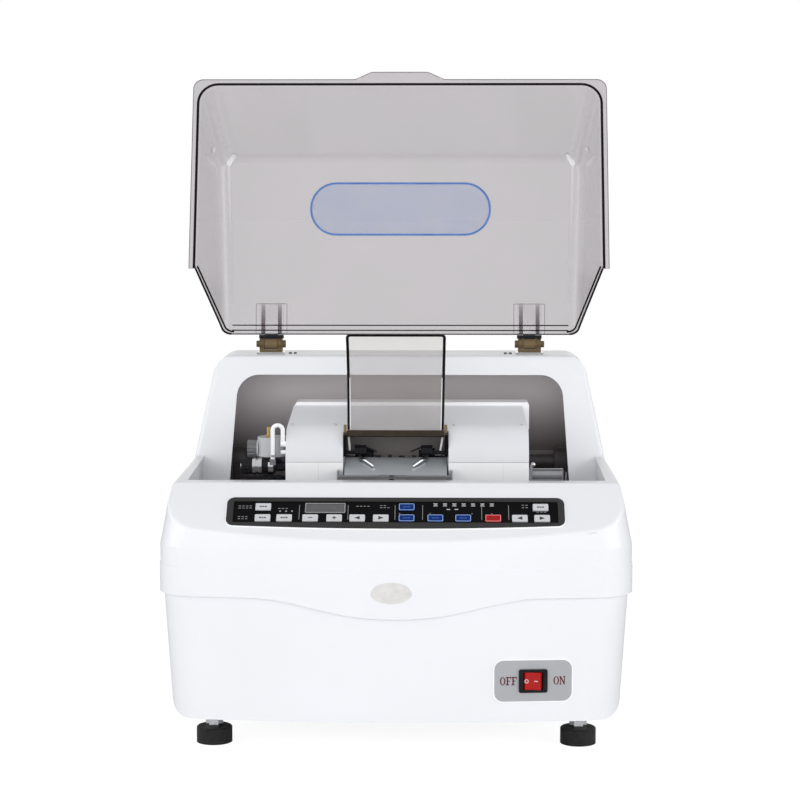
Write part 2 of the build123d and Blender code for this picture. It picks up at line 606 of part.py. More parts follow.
def lid_wall(inset):
    """Closed solid of the lid's outside, inset by a wall."""
    y_low = LID_FRONT_Y + LID_FLANGE + inset * 1.22
    z_low = LID_RIM_Z - (2 if inset else 0)
    slope_front = (LID_CREASE_Y - LID_FRONT_Y - LID_FLANGE) / (LID_CREASE_Z - LID_RIM_Z)
    slope_top = (LID_EDGE_Z - LID_CREASE_Z) / (LID_EDGE_Y - LID_CREASE_Y)
    crease_y = LID_CREASE_Y + inset * 0.9
    crease_z = LID_CREASE_Z - inset * 1.02 + inset * 0.9 * slope_top
    reach = 12 if inset else 0
    back_clear = 2.5
    outline = [(y_low - (2 * slope_front if inset else 0), z_low), (crease_y, crease_z),
               (LID_EDGE_Y + reach, LID_EDGE_Z - inset * 1.02 + reach * slope_top),
               (hood_face_y(411) - back_clear + reach, 411),
               (hood_face_y(z_low) - back_clear + reach, z_low)]
    profile = prism_x(polygon(outline), -300, 300)
    half_rim, half_top = LID_HALF_RIM - LID_FLANGE - inset, LID_HALF_TOP - inset
    top_z = 428.0
    mask = polygon([(-half_rim, z_low), (half_rim, z_low), (half_top, top_z), (-half_top, top_z)])
    solid = profile & prism_y(mask, 0, 420)
    front = [e for e in solid.edges() if e.center().Y < 110 and abs(e.center().X) > 100
             and abs(e.bounding_box().size.Z) > 50]
    solid = fillet(front, 24 - inset)
    ridge = [e for e in solid.edges()
             if e.center().Z > crease_z - 30 and e.bounding_box().min.Z > crease_z - 12
             and e.center().Y < LID_EDGE_Y - 5 and e.length > 20
             and (abs(e.center().X) > 200 or abs(e.center().Y - crease_y) < 12)]
    return fillet(ridge, 11 - inset)


def make_lid_shell():
    """Smoked lid with an outward flange and a finger tab at the middle of its front edge."""
    outer = lid_wall(0)
    flange_plan = polygon([(-LID_HALF_RIM, LID_FRONT_Y), (LID_HALF_RIM, LID_FRONT_Y),
                           (LID_HALF_RIM, LID_BACK_Y), (-LID_HALF_RIM, LID_BACK_Y)])
    flange_plan = corners_near(flange_plan, lambda x, y: y < 100, 12)
    flange = prism_z(flange_plan, LID_RIM_Z, LID_RIM_Z + LID_WALL)
    tab_face = polygon([(-54, LID_FRONT_Y + 2), (-34, LID_TAB_Y), (34, LID_TAB_Y), (54, LID_FRONT_Y + 2)])
    tab_face = corners_near(tab_face, lambda x, y: y < LID_TAB_Y + 1, 12)
    tab = prism_z(tab_face, LID_RIM_Z, LID_RIM_Z + LID_WALL)
    shell = outer + flange + tab - lid_wall(LID_WALL)
    for side in (-1, 1):
        slot = rod_x(side * HINGE_X - 17, side * HINGE_X + 17, LID_AXIS_Y, LID_AXIS_Z, 11)
        shell = shell - slot
    return opened(shell)


def make_lid_hinges():
    """Two hinges on the hood: base plate with two knuckles, and the pin with its nut."""
    pieces = []
    for side in (-1, 1):
        x = side * HINGE_X
        plate = block(x - 17, x + 17, 343.5, 374, HOOD_TOP_Z, HOOD_TOP_Z + 2.5)
        for x0 in (x - 14, x + 8):
            plate = plate + block(x0, x0 + 6, LID_AXIS_Y - 5, LID_AXIS_Y + 6, HOOD_TOP_Z + 2.5, LID_AXIS_Z)
            plate = plate + rod_x(x0, x0 + 6, LID_AXIS_Y, LID_AXIS_Z, 7)
        plate = plate + block(x - 8, x + 8, LID_AXIS_Y - 6, LID_AXIS_Y + 6, HOOD_TOP_Z + 2.5, LID_AXIS_Z - 7)
        pieces.append(plate - rod_x(x - 16, x + 16, LID_AXIS_Y, LID_AXIS_Z, 2.5))
        pin = rod_x(x - 17, x + 17, LID_AXIS_Y, LID_AXIS_Z, 2.5)
        head = rod_x(x + side * 14, x + side * 18, LID_AXIS_Y, LID_AXIS_Z, 4)
        nut = rod_x(x - side * 14, x - side * 18, LID_AXIS_Y, LID_AXIS_Z, 4.6)
        pieces.append(pin + head + nut)
    return group(pieces)


def make_hinge_leaves():
    """Leaf plates on top of the lid, each with the middle knuckle of its hinge."""
    slope = math.degrees(math.atan2(LID_EDGE_Z - LID_CREASE_Z, LID_EDGE_Y - LID_CREASE_Y))
    leaves = []
    for side in (-1, 1):
        x = side * HINGE_X
        lay = Pos(x, LID_EDGE_Y, LID_EDGE_Z) * Rot(slope, 0, 0)
        plate = lay * Pos(0, -20, 1.3) * Box(30, 38, 2.4)
        for rib in (-8, 8):
            plate = plate + lay * Pos(rib, -19, 3.6) * Box(3, 30, 2.4)
        arm = lay * Pos(0, 1, 1.3) * Box(15, 12, 2.4)
        knuckle = rod_x(x - 7.6, x + 7.6, LID_AXIS_Y, LID_AXIS_Z, 6.6)
        leaf = plate + arm + knuckle - rod_x(x - 9, x + 9, LID_AXIS_Y, LID_AXIS_Z, 2.5 + RUN_GAP)
        leaves.append(opened(leaf))
    return group(leaves)


# ------------------------------------------------------------------------- lens head
def head_profile(inset, z0):
    """Side view of the head's covers: upright front, rounded brow, sloping top."""
    brow = ThreePointArc((HEAD_FRONT_Y, 296), (196.5, 322), (222, 340.5))
    rest = Polyline((222, 340.5), (HEAD_BACK_Y, HEAD_TOP_Z), (HEAD_BACK_Y, z0), (HEAD_FRONT_Y, z0),
                    (HEAD_FRONT_Y, 296))
    face = make_face([brow] + list(rest.edges()))
    return offset(face, amount=-inset) if inset else face


def head_mask(inset, z0):
    """Front view of the head's covers: upright sides that lean in near the top."""
    left, right = HEAD_LEFT + inset, HEAD_RIGHT - inset
    knee_z, top_z, lean = 334.0, HEAD_TOP_Z + 2.5 - inset, 6.0
    face = polygon([(left, z0), (left, knee_z), (left + lean, top_z), (right - lean, top_z),
                    (right, knee_z), (right, z0)])
    return prism_y(face, 150, 320)


def head_form(inset, z0=240.0):
    """Solid of the head's covers, inset by a wall."""
    return prism_x(head_profile(inset, z0), -160, 180) & head_mask(inset, z0)


COVER_WALL = 2.5


BAY_BACK_Y = 262.0
COVER_BACK_LIP_Z = 345.0      # the cover's back is open below this
CHUCK_HOLE_R = 9.5
SEAM_GAP = 0.4


def chuck_holes(shape):
    """Cut the holes in the bay's side walls that the chucks pass through."""
    for x in (BAY_LEFT, BAY_RIGHT):
        shape = shape - rod_x(x - 5, x + 5, CHUCK_Y, CHUCK_Z, CHUCK_HOLE_R)
    return shape


def bay_cheeks(y0, z0, z1):
    """Side walls of the head's covers on either side of the lens bay."""
    left = block(BAY_LEFT - COVER_WALL, BAY_LEFT, y0, BAY_BACK_Y, z0, z1)
    return left + block(BAY_RIGHT, BAY_RIGHT + COVER_WALL, y0, BAY_BACK_Y, z0, z1)


def make_head_cover():
    """Cover over both arms, open at the back and below, notched for the lens bay."""
    back = head_mask(COVER_WALL, 200) & block(-200, 200, BAY_BACK_Y, HEAD_BACK_Y + 10, 200, COVER_BACK_LIP_Z)
    shell = head_form(0) - head_form(COVER_WALL) - back
    bay = block(BAY_LEFT, BAY_RIGHT, 150, 300, 200, BAY_TOP_Z)
    roof = block(BAY_LEFT, BAY_RIGHT, 205, BAY_BACK_Y, BAY_TOP_Z, BAY_TOP_Z + COVER_WALL)
    lining = head_form(0) & (bay_cheeks(180, 200, BAY_TOP_Z + COVER_WALL) + roof)
    cover = chuck_holes((shell - bay) + lining)
    return cover - block(-200, 200, 150, 300, 200, HEAD_SEAM_Z)


def make_arm_covers():
    """Lower covers of the two arms, under the seam."""
    top = HEAD_SEAM_Z - SEAM_GAP
    form = head_form(0) - head_form(COVER_WALL)
    skirts = form & block(-200, 200, 150, BAY_BACK_Y, HEAD_BOTTOM_Z, top)
    skirts = skirts - block(BAY_LEFT, BAY_RIGHT, 150, 300, 200, 400)
    return group(chuck_holes(skirts + bay_cheeks(HEAD_FRONT_Y, HEAD_BOTTOM_Z, top)).solids())


ARM_LEFT = (-118.0, -74.0)
ARM_RIGHT = (66.0, 104.0)
LUGS = ((-104.0, -84.0), (104.0, 124.0))
SLEEVE_R = 13.0


def make_head_frame():
    """Cast frame: rear box, two bearing arms for the chuck shafts, two lugs on the shaft."""
    top_z, step_z, left, right = HEAD_TOP_Z + 3.8, 327.6, -124.5, 155.5
    face = polygon([(left, HEAD_BOTTOM_Z), (left, top_z - 3), (left + 3, top_z), (right - 2, top_z),
                    (right, top_z - 3), (right, step_z), (right - 3.5, step_z), (right - 3.5, HEAD_BOTTOM_Z)])
    frame = prism_y(face, HEAD_BACK_Y, HEAD_FRAME_BACK_Y)
    for x0, x1 in (ARM_LEFT, ARM_RIGHT):
        frame = frame + block(x0, x1, 214, HEAD_BACK_Y, CHUCK_Z - 15, CHUCK_Z + 15)
    frame = frame - rod_x(ARM_LEFT[0] - 2, ARM_LEFT[1] + 2, CHUCK_Y, CHUCK_Z, 5 + RUN_GAP)
    frame = frame - rod_x(ARM_RIGHT[0] - 2, ARM_RIGHT[1] + 2, CHUCK_Y, CHUCK_Z, 8 + RUN_GAP)
    for x0, x1 in LUGS:
        lug = polygon([(HEAD_FRAME_BACK_Y, 264), (PIVOT_Y - 6, 264), (PIVOT_Y - 6, 294),
                       (HEAD_FRAME_BACK_Y, 320)])
        frame = frame + prism_x(lug, x0, x1) + rod_x(x0, x1, PIVOT_Y, PIVOT_Z, 18)
    return frame - rod_x(-140, 160, PIVOT_Y, PIVOT_Z, SLEEVE_R + RUN_GAP)


def make_carriage_sleeve():
    """Bronze sleeve that slides on the guide shaft; the head tilts on it."""
    x0, x1 = LUGS[0][0] - 2, LUGS[1][1] + 2
    sleeve = rod_x(x0, x1, PIVOT_Y, PIVOT_Z, SLEEVE_R)
    for a, b in ((x0 - 4, x0), (x1, x1 + 4)):
        sleeve = sleeve + rod_x(a, b, PIVOT_Y, PIVOT_Z, 17)
    return sleeve - rod_x(x0 - 10, x1 + 10, PIVOT_Y, PIVOT_Z, 9 + RUN_GAP)


def bay_lining():
    """Dark lining of the lens bay: back wall, roof and two side walls."""
    sheet = 1.5
    x0, x1, y1, z1 = BAY_LEFT, BAY_RIGHT, BAY_BACK_Y, BAY_TOP_Z
    outer = head_form(1.2) & block(x0, x1, 192, y1, HEAD_BOTTOM_Z, z1)
    liner = outer - block(x0 + sheet, x1 - sheet, 180, y1 - sheet, 240, z1 - sheet)
    return chuck_holes(liner)


def make_splash_apron():
    """Grey sheet in front of the bay: ledge, slope, and a wider notched step below."""
    ledge_z, step_y, step_z, foot_z, sheet = 301.5, 174.0, 283.8, HEAD_BOTTOM_Z + 0.5, 2.0
    slope = polygon([(206, ledge_z), (200, ledge_z), (step_y + 1, step_z), (step_y + 1, step_z - 2.4),
                     (200.6, ledge_z - sheet), (206, ledge_z - sheet)])
    apron = prism_x(slope, BAY_LEFT + 2, BAY_RIGHT - 2)
    left, right, ear_z = -70.5, 63.5, 289.0
    apron = apron + block(left, right, step_y - 0.6, step_y + 1.4, foot_z, step_z)
    for x0, x1 in ((left, left + sheet), (right - sheet, right)):
        apron = apron + block(x0, x1, step_y - 0.6, HEAD_FRONT_Y, foot_z, ear_z)
    apron = apron + block(-21, 9, step_y - 2.1, step_y - 0.6, foot_z, step_z + 0.9)
    return apron - block(-9.6, -4.4, 165, step_y + 3, 250, step_z + 0.4)


NOZZLES = ((-44.0, 1), (33.5, -1))     # middle of each block, and the way its tube leans
NOZZLE_Y, NOZZLE_Z = 209.0, 309.0


def nozzle_blocks():
    """Black water blocks on the bay's side walls, each with a feeler rod."""
    blocks = []
    for x, way in NOZZLES:
        wall = BAY_LEFT + 1.5 if way > 0 else BAY_RIGHT - 1.5
        middle = Pos(x, NOZZLE_Y, NOZZLE_Z)
        body = middle * Rot(0, 90, 0) * extrude(RegularPolygon(6.2, 6), amount=6.8, both=True)
        arm = block(min(wall, x), max(wall, x), NOZZLE_Y - 3, NOZZLE_Y + 3, NOZZLE_Z - 5, NOZZLE_Z - 0.5)
        rod = middle * Pos(way * 5, 0, 4) * Rot(0, way * 112, 0) * extrude(Circle(0.9), amount=15)
        blocks.append(body + arm + rod)
    return blocks


def nozzle_tubes():
    """Bent chrome water tubes that point at the wheels, over the apron."""
    tubes = []
    for x, way in NOZZLES:
        inlet_x, tip_x = x - way * 1, x + way * 16
        path = FilletPolyline((inlet_x, 206, 305), (inlet_x, 196, 303.6), (tip_x, 184.5, 293.2), radius=4)
        start = path.edges()[0]
        plane = Plane(origin=start @ 0, z_dir=start % 0)
        tubes.append(sweep(plane * Circle(1.6), path=path))
    return tubes


def make_water_nozzles():
    """Both blocks, each with its tube seated in it."""
    pieces = []
    for body, tube in zip(nozzle_blocks(), nozzle_tubes()):
        pieces += [body - tube, tube]
    return group(pieces)


def make_chuck(x_tip, way, shaft_end):
    """Lens chuck: shaft, black holder and rubber cup; way is the side the cup faces."""
    shaft = rod_x(x_tip - way * 19, shaft_end, CHUCK_Y, CHUCK_Z, 5)
    holder = rod_x(x_tip - way * 19, x_tip - way * 4, CHUCK_Y, CHUCK_Z, 8)
    cup = rod_x(x_tip - way * 4, x_tip, CHUCK_Y, CHUCK_Z, 6)
    return shaft + holder + cup


CLAMP_TRAVEL = 45.0


def make_clamp_quill():
    """Sleeve that carries the right chuck and slides in the right arm."""
    quill = rod_x(64, 148, CHUCK_Y, CHUCK_Z, 8)
    return quill - rod_x(60, 152, CHUCK_Y, CHUCK_Z, 5 + RUN_GAP)


def make_splash_flap():
    """Curved smoked flap over the lens bay, standing open."""
    line = [(0, 4.2), (6, 24), (18, 55), (20, 85), (8, 118)]
    half = 1.5
    front, back = [], []
    for i, (y, z) in enumerate(line):
        y0, z0 = line[max(i - 1, 0)]
        y1, z1 = line[min(i + 1, len(line) - 1)]
        run = math.hypot(y1 - y0, z1 - z0)
        across = ((z1 - z0) / run * half, -(y1 - y0) / run * half)
        front.append((FLAP_Y + y - across[0], FLAP_Z + z - across[1]))
        back.append((FLAP_Y + y + across[0], FLAP_Z + z + across[1]))
    edges = [Spline(*front), Line(front[-1], back[-1]), Spline(*back[::-1]), Line(back[0], front[0])]
    spread, foot_z, top_z = 2.2, FLAP_Z + 3, FLAP_Z + line[-1][1]
    plan = polygon([(FLAP_LEFT, foot_z), (FLAP_RIGHT, foot_z), (FLAP_RIGHT + spread, top_z),
                    (FLAP_LEFT - spread, top_z)])
    plan = corners_near(plan, lambda x, z: z > top_z - 1, 5.5)
    return prism_x(make_face(edges), FLAP_LEFT - 5, FLAP_RIGHT + 5) & prism_y(plan, 150, 260)


def make_flap_bar():
    """Hinge bar at the foot of the flap with a stub pin at each end."""
    bar = block(FLAP_LEFT, FLAP_RIGHT, FLAP_Y - 4.2, FLAP_Y - 1.8, FLAP_Z - 1, FLAP_Z + 5.7)
    bar = bar + rod_x(FLAP_LEFT, FLAP_RIGHT, FLAP_Y, FLAP_Z, 2.4)
    return bar + rod_x(FLAP_LEFT - 3.5, FLAP_RIGHT + 3.5, FLAP_Y, FLAP_Z, 1.5)


def flap_brackets():
    """Brass brackets in the bay's upper corners that hold the flap's stub pins."""
    brackets = []
    for x0, x1 in ((BAY_LEFT, FLAP_LEFT - 0.3), (FLAP_RIGHT + 0.3, BAY_RIGHT)):
        plate = block(x0, x1, FLAP_Y - 5, FLAP_Y + 7, FLAP_Z - 5, FLAP_Z + 3)
        brackets.append(plate - rod_x(x0 - 1, x1 + 1, FLAP_Y, FLAP_Z, 1.5 + RUN_GAP))
    return brackets


def make_lens_bay():
    """The bay's dark lining with the flap's two brackets let into its corners."""
    liner = bay_lining()
    brackets = flap_brackets()
    for bracket in brackets:
        box = bracket.bounding_box()
        liner = liner - block(box.min.X - 0.1, box.max.X, box.min.Y, box.max.Y, box.min.Z, box.max.Z + 1)
    return group(list(liner.solids()) + brackets)


# ------------------------------------------------------------- fittings beside the head
VALVE_X, VALVE_Y, VALVE_R = -148.6, 218.0, 17.0
DIAL_Y, DIAL_Z = 205.0, 290.7
HOSE_Y, HOSE_R, HOSE_FOOT_Z = 197.2, 2.5, 300.0
HOSE_LEFT_X, HOSE_RIGHT_X = -146.5, -134.7


def make_valve_body():
    """Round water valve with a knurled stub and a brass fitting on top."""
    foot_z, top_z = DIAL_Z + 10.7, 324.0
    body = rod_z(foot_z, top_z, VALVE_X, VALVE_Y, VALVE_R)
    body = body + block(HEAD_LEFT - 9, HEAD_LEFT, VALVE_Y - 8, VALVE_Y + 8, foot_z, foot_z + 5)
    stub_z, stub_r = 310.0, 10.0
    stub = rod_x(-177.5, VALVE_X - VALVE_R + 1, VALVE_Y, stub_z, stub_r)
    for i in range(12):
        a = i * math.pi / 6
        y, z = VALVE_Y + (stub_r + 0.4) * math.cos(a), stub_z + (stub_r + 0.4) * math.sin(a)
        stub = stub - rod_x(-178, -167.5, y, z, 1.7)
    fitting_x, fitting_y = -152.2, 212.0
    fitting = rod_z(top_z, 336, fitting_x, fitting_y, 2.2) + hex_z(fitting_x, fitting_y, top_z, 327.5, 6)
    return body + stub + fitting


def make_water_hose():
    """White hose: up from the gauge body, over in a tight bend and into the head's side."""
    top = 339.5
    bend = (HOSE_RIGHT_X - HOSE_LEFT_X) / 2 - 0.01
    path = FilletPolyline((HOSE_LEFT_X, HOSE_Y, HOSE_FOOT_Z), (HOSE_LEFT_X, HOSE_Y, top),
                          (HOSE_RIGHT_X, HOSE_Y, top),
                          (HOSE_RIGHT_X, HOSE_Y, 319), radius=bend)
    tube = sweep(Plane(origin=path @ 0, z_dir=path % 0) * Circle(HOSE_R), path=path)
    plug = rod_x(HEAD_LEFT - 6, HEAD_LEFT, HOSE_Y, 308, 2.6)
    return group([tube + rod_x(HEAD_LEFT, HOSE_RIGHT_X - HOSE_R, HOSE_Y, 317.5, 3.4), plug])


def make_size_gauge():
    """Size gauge beside the head: black barrel and lever ring, base block, drilled tab."""
    barrel = rod_x(-159.2, -144, DIAL_Y, DIAL_Z, 8.8) + rod_x(-144, HEAD_LEFT, DIAL_Y, DIAL_Z, 5.5)
    barrel = barrel - rod_x(-161, -150, DIAL_Y, DIAL_Z, 3 + RUN_GAP)
    ring = rod_x(-152, -146, DIAL_Y, DIAL_Z, 10.4)
    lever = block(-152, -136, DIAL_Y - 5, DIAL_Y - 1, DIAL_Z + 6.5, DIAL_Z + 9.5)
    seat = block(HOSE_LEFT_X - 3.5, HOSE_LEFT_X + 3.5, HOSE_Y - 3, DIAL_Y, 293, HOSE_FOOT_Z)
    base = block(-179, -154, 198, 214, 268, 279.2) + block(-160, HEAD_LEFT, 206, 214, 270, 279)
    base = base + block(-158, -146, 201, 209, 278, 284)
    tab = block(-153.5, -136.5, 197, 199, 268, 281.3) - rod_y(190, 204, -144.5, 275.6, 2.7)
    nut = Pos(-143, DIAL_Y, DIAL_Z) * Rot(0, 90, 0) * extrude(RegularPolygon(6.2, 6), amount=8)
    link = block(-150, -139, 199, 206, 269, 272)
    bored_ring = ring - rod_x(-161, -150, DIAL_Y, DIAL_Z, 3 + RUN_GAP)
    return barrel + bored_ring + lever + seat + base + tab + link + nut


def make_size_dial():
    """Black knob and knurled ring on their own spindle, turning in the gauge barrel."""
    knob = rod_x(-183.5, -170.6, DIAL_Y, DIAL_Z, 9.4)
    for i in range(12):
        a = i * math.pi / 6
        knob = knob - rod_x(-185, -172, DIAL_Y + 10.4 * math.cos(a), DIAL_Z + 10.4 * math.sin(a), 1.6)
    ring = rod_x(-170.6, -159.6, DIAL_Y, DIAL_Z, 10.2)
    ring = ring - (rod_x(-166.6, -163.6, DIAL_Y, DIAL_Z, 12) - rod_x(-166.6, -163.6, DIAL_Y, DIAL_Z, 9))
    return knob + ring + rod_x(-184.8, -151, DIAL_Y, DIAL_Z, 3)


def make_pressure_cylinder():
    """Grinding-pressure cylinder beside the right arm, with its rods, block and end arms."""
    y = 205.0
    cylinder = rod_x(157, 191.6, y, 281, 5.2)
    arm = block(HEAD_RIGHT, 157, 196, 226, 264, 287) + block(191.6, 193.2, 198, 212, 264, 288)
    arm = arm + block(195.6, 197.4, 198, 212, 264, 284) + block(193.2, 195.6, 200, 210, 266, 270)
    rod = rod_x(156, 192.5, y, 287.6, 0.9)
    under = block(157, 191.6, 200, 214, 264, 273)
    ball = Pos(158, 204, 293) * Sphere(2.8)
    post = rod_z(284, 292, 156.2, 204, 1.2)
    return cylinder + arm + rod + under + block(157, 191.6, 203, 207, 273, 279) + post + ball


# ------------------------------------------------------------------------------ output
def collect():
    """Name every piece of the machine."""
    solids = {
        "upper_cover": make_upper_cover(), "lower_case": make_lower_case(),
        "base_plate": make_base_plate(), "rear_panel": make_rear_panel(),
        "power_inlet": make_power_inlet(), "water_fittings": make_water_fittings(),
        "foot_pads": make_foot_pads(), "levelling_studs": make_levelling_studs(),
        "wet_tub": make_wet_tub(), "hood_liner": make_hood_liner(),
        "drive_motor": make_drive_motor(), "motor_rotor": make_motor_rotor(),
        "drive_belt": make_drive_belt(), "power_supply": make_power_supply(),
        "spindle_housing": make_spindle_housing(), "spindle": make_spindle(),
        "grinding_wheels": make_grinding_wheels(), "guide_shaft": make_guide_shaft(),
        "panel_bezel": make_panel_bezel(), "panel_face": make_panel_face(),
        "display_window": make_display_window(), "control_board": make_control_board(),
        "switch_plate": make_switch_plate(), "rocker_bezel": make_rocker_bezel(),
        "power_rocker": make_rocker(), "lid_shell": make_lid_shell(),
        "lid_hinges": make_lid_hinges(), "hinge_leaves": make_hinge_leaves(),
        "carriage_sleeve": make_carriage_sleeve(), "head_frame": make_head_frame(),
        "head_cover": make_head_cover(), "arm_covers": make_arm_covers(), "lens_bay": make_lens_bay(),
        "splash_apron": make_splash_apron(), "water_nozzles": make_water_nozzles(),
        "splash_flap": make_splash_flap(), "flap_bar": make_flap_bar(),
        "left_chuck": make_chuck(-29.0, 1, -112.0), "right_chuck": make_chuck(24.0, -1, 146.0),
        "clamp_quill": make_clamp_quill(), "valve_body": make_valve_body(),
        "water_hose": make_water_hose(), "size_gauge": make_size_gauge(),
        "size_dial": make_size_dial(), "pressure_cylinder": make_pressure_cylinder()}
    for name in KEYS:
        solids[name] = make_key(name)
    return solids


def write_parts():
    """Write each piece to its own file, with the origin on the floor."""
    os.makedirs("parts", exist_ok=True)
    to_origin = Pos(0, -MIDDLE_Y, -FLOOR_Z)
    for name, solid in collect().items():
        export_step(to_origin * solid, f"parts/{name}.step")


if __name__ == "__main__":
    write_parts()
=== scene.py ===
"""Finishes, printed marks, small fittings, lights and camera for a table-top optical lens edger."""

import json
import logging
import math
from dataclasses import dataclass, field, fields
from enum import Enum
from functools import partialmethod
from typing import Any, ClassVar, Dict, Iterable, List, Sequence, Tuple, Union

import bmesh
import bpy
from mathutils import Matrix, Vector


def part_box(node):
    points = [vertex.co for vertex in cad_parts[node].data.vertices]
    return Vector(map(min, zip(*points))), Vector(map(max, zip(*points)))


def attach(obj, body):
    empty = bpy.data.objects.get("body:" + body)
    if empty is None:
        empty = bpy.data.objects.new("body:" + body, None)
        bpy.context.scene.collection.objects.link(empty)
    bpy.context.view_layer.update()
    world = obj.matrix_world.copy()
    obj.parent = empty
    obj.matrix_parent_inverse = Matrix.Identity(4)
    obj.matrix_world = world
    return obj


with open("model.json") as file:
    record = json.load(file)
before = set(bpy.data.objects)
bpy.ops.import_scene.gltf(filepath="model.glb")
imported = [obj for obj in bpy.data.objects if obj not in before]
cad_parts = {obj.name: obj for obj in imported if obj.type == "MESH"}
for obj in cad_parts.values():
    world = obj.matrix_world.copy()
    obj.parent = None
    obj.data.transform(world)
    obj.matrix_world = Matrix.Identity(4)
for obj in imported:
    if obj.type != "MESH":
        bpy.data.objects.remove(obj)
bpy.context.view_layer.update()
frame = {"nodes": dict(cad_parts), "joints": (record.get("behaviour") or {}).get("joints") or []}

LOG = logging.getLogger("lens_edger")
NODES: Dict[str, bpy.types.Object] = frame["nodes"]
JOINTS: Dict[str, Dict[str, Any]] = {joint["name"]: joint for joint in frame["joints"]}

Color = Tuple[float, float, float]
Point2 = Tuple[float, float]
Point3 = Tuple[float, float, float]
Box = Tuple[Point3, Point3]
Number = Union[int, float, "Signal"]


# ------------------------------------------------------------------------ shader maths
class Signal:
    """A shader socket that ordinary Python arithmetic can be written with."""

    def __init__(self, graph: "Graph", socket: bpy.types.NodeSocket) -> None:
        """Wrap a socket of a graph."""
        self.graph = graph
        self.socket = socket

    def meet(self, operation: str, swapped: bool, other: Number) -> "Signal":
        """Add a Math node.

        Args:
            operation: the Math node's operation.
            swapped: whether other is the left operand.
            other: the operand that isn't this signal.

        Returns:
            The node's result.
        """
        first, second = (other, self) if swapped else (self, other)
        return self.graph.node("ShaderNodeMath", {"operation": operation}, {0: first, 1: second})

    __add__ = partialmethod(meet, "ADD", False)
    __radd__ = partialmethod(meet, "ADD", True)
    __sub__ = partialmethod(meet, "SUBTRACT", False)
    __rsub__ = partialmethod(meet, "SUBTRACT", True)
    __mul__ = partialmethod(meet, "MULTIPLY", False)
    __rmul__ = partialmethod(meet, "MULTIPLY", True)
    __pow__ = partialmethod(meet, "POWER", False)
    __gt__ = partialmethod(meet, "GREATER_THAN", False)
    __lt__ = partialmethod(meet, "LESS_THAN", False)
    above = partialmethod(meet, "MAXIMUM", False)

    def __abs__(self) -> "Signal":
        """Return the value without its sign."""
        return self.graph.node("ShaderNodeMath", {"operation": "ABSOLUTE"}, {0: self})


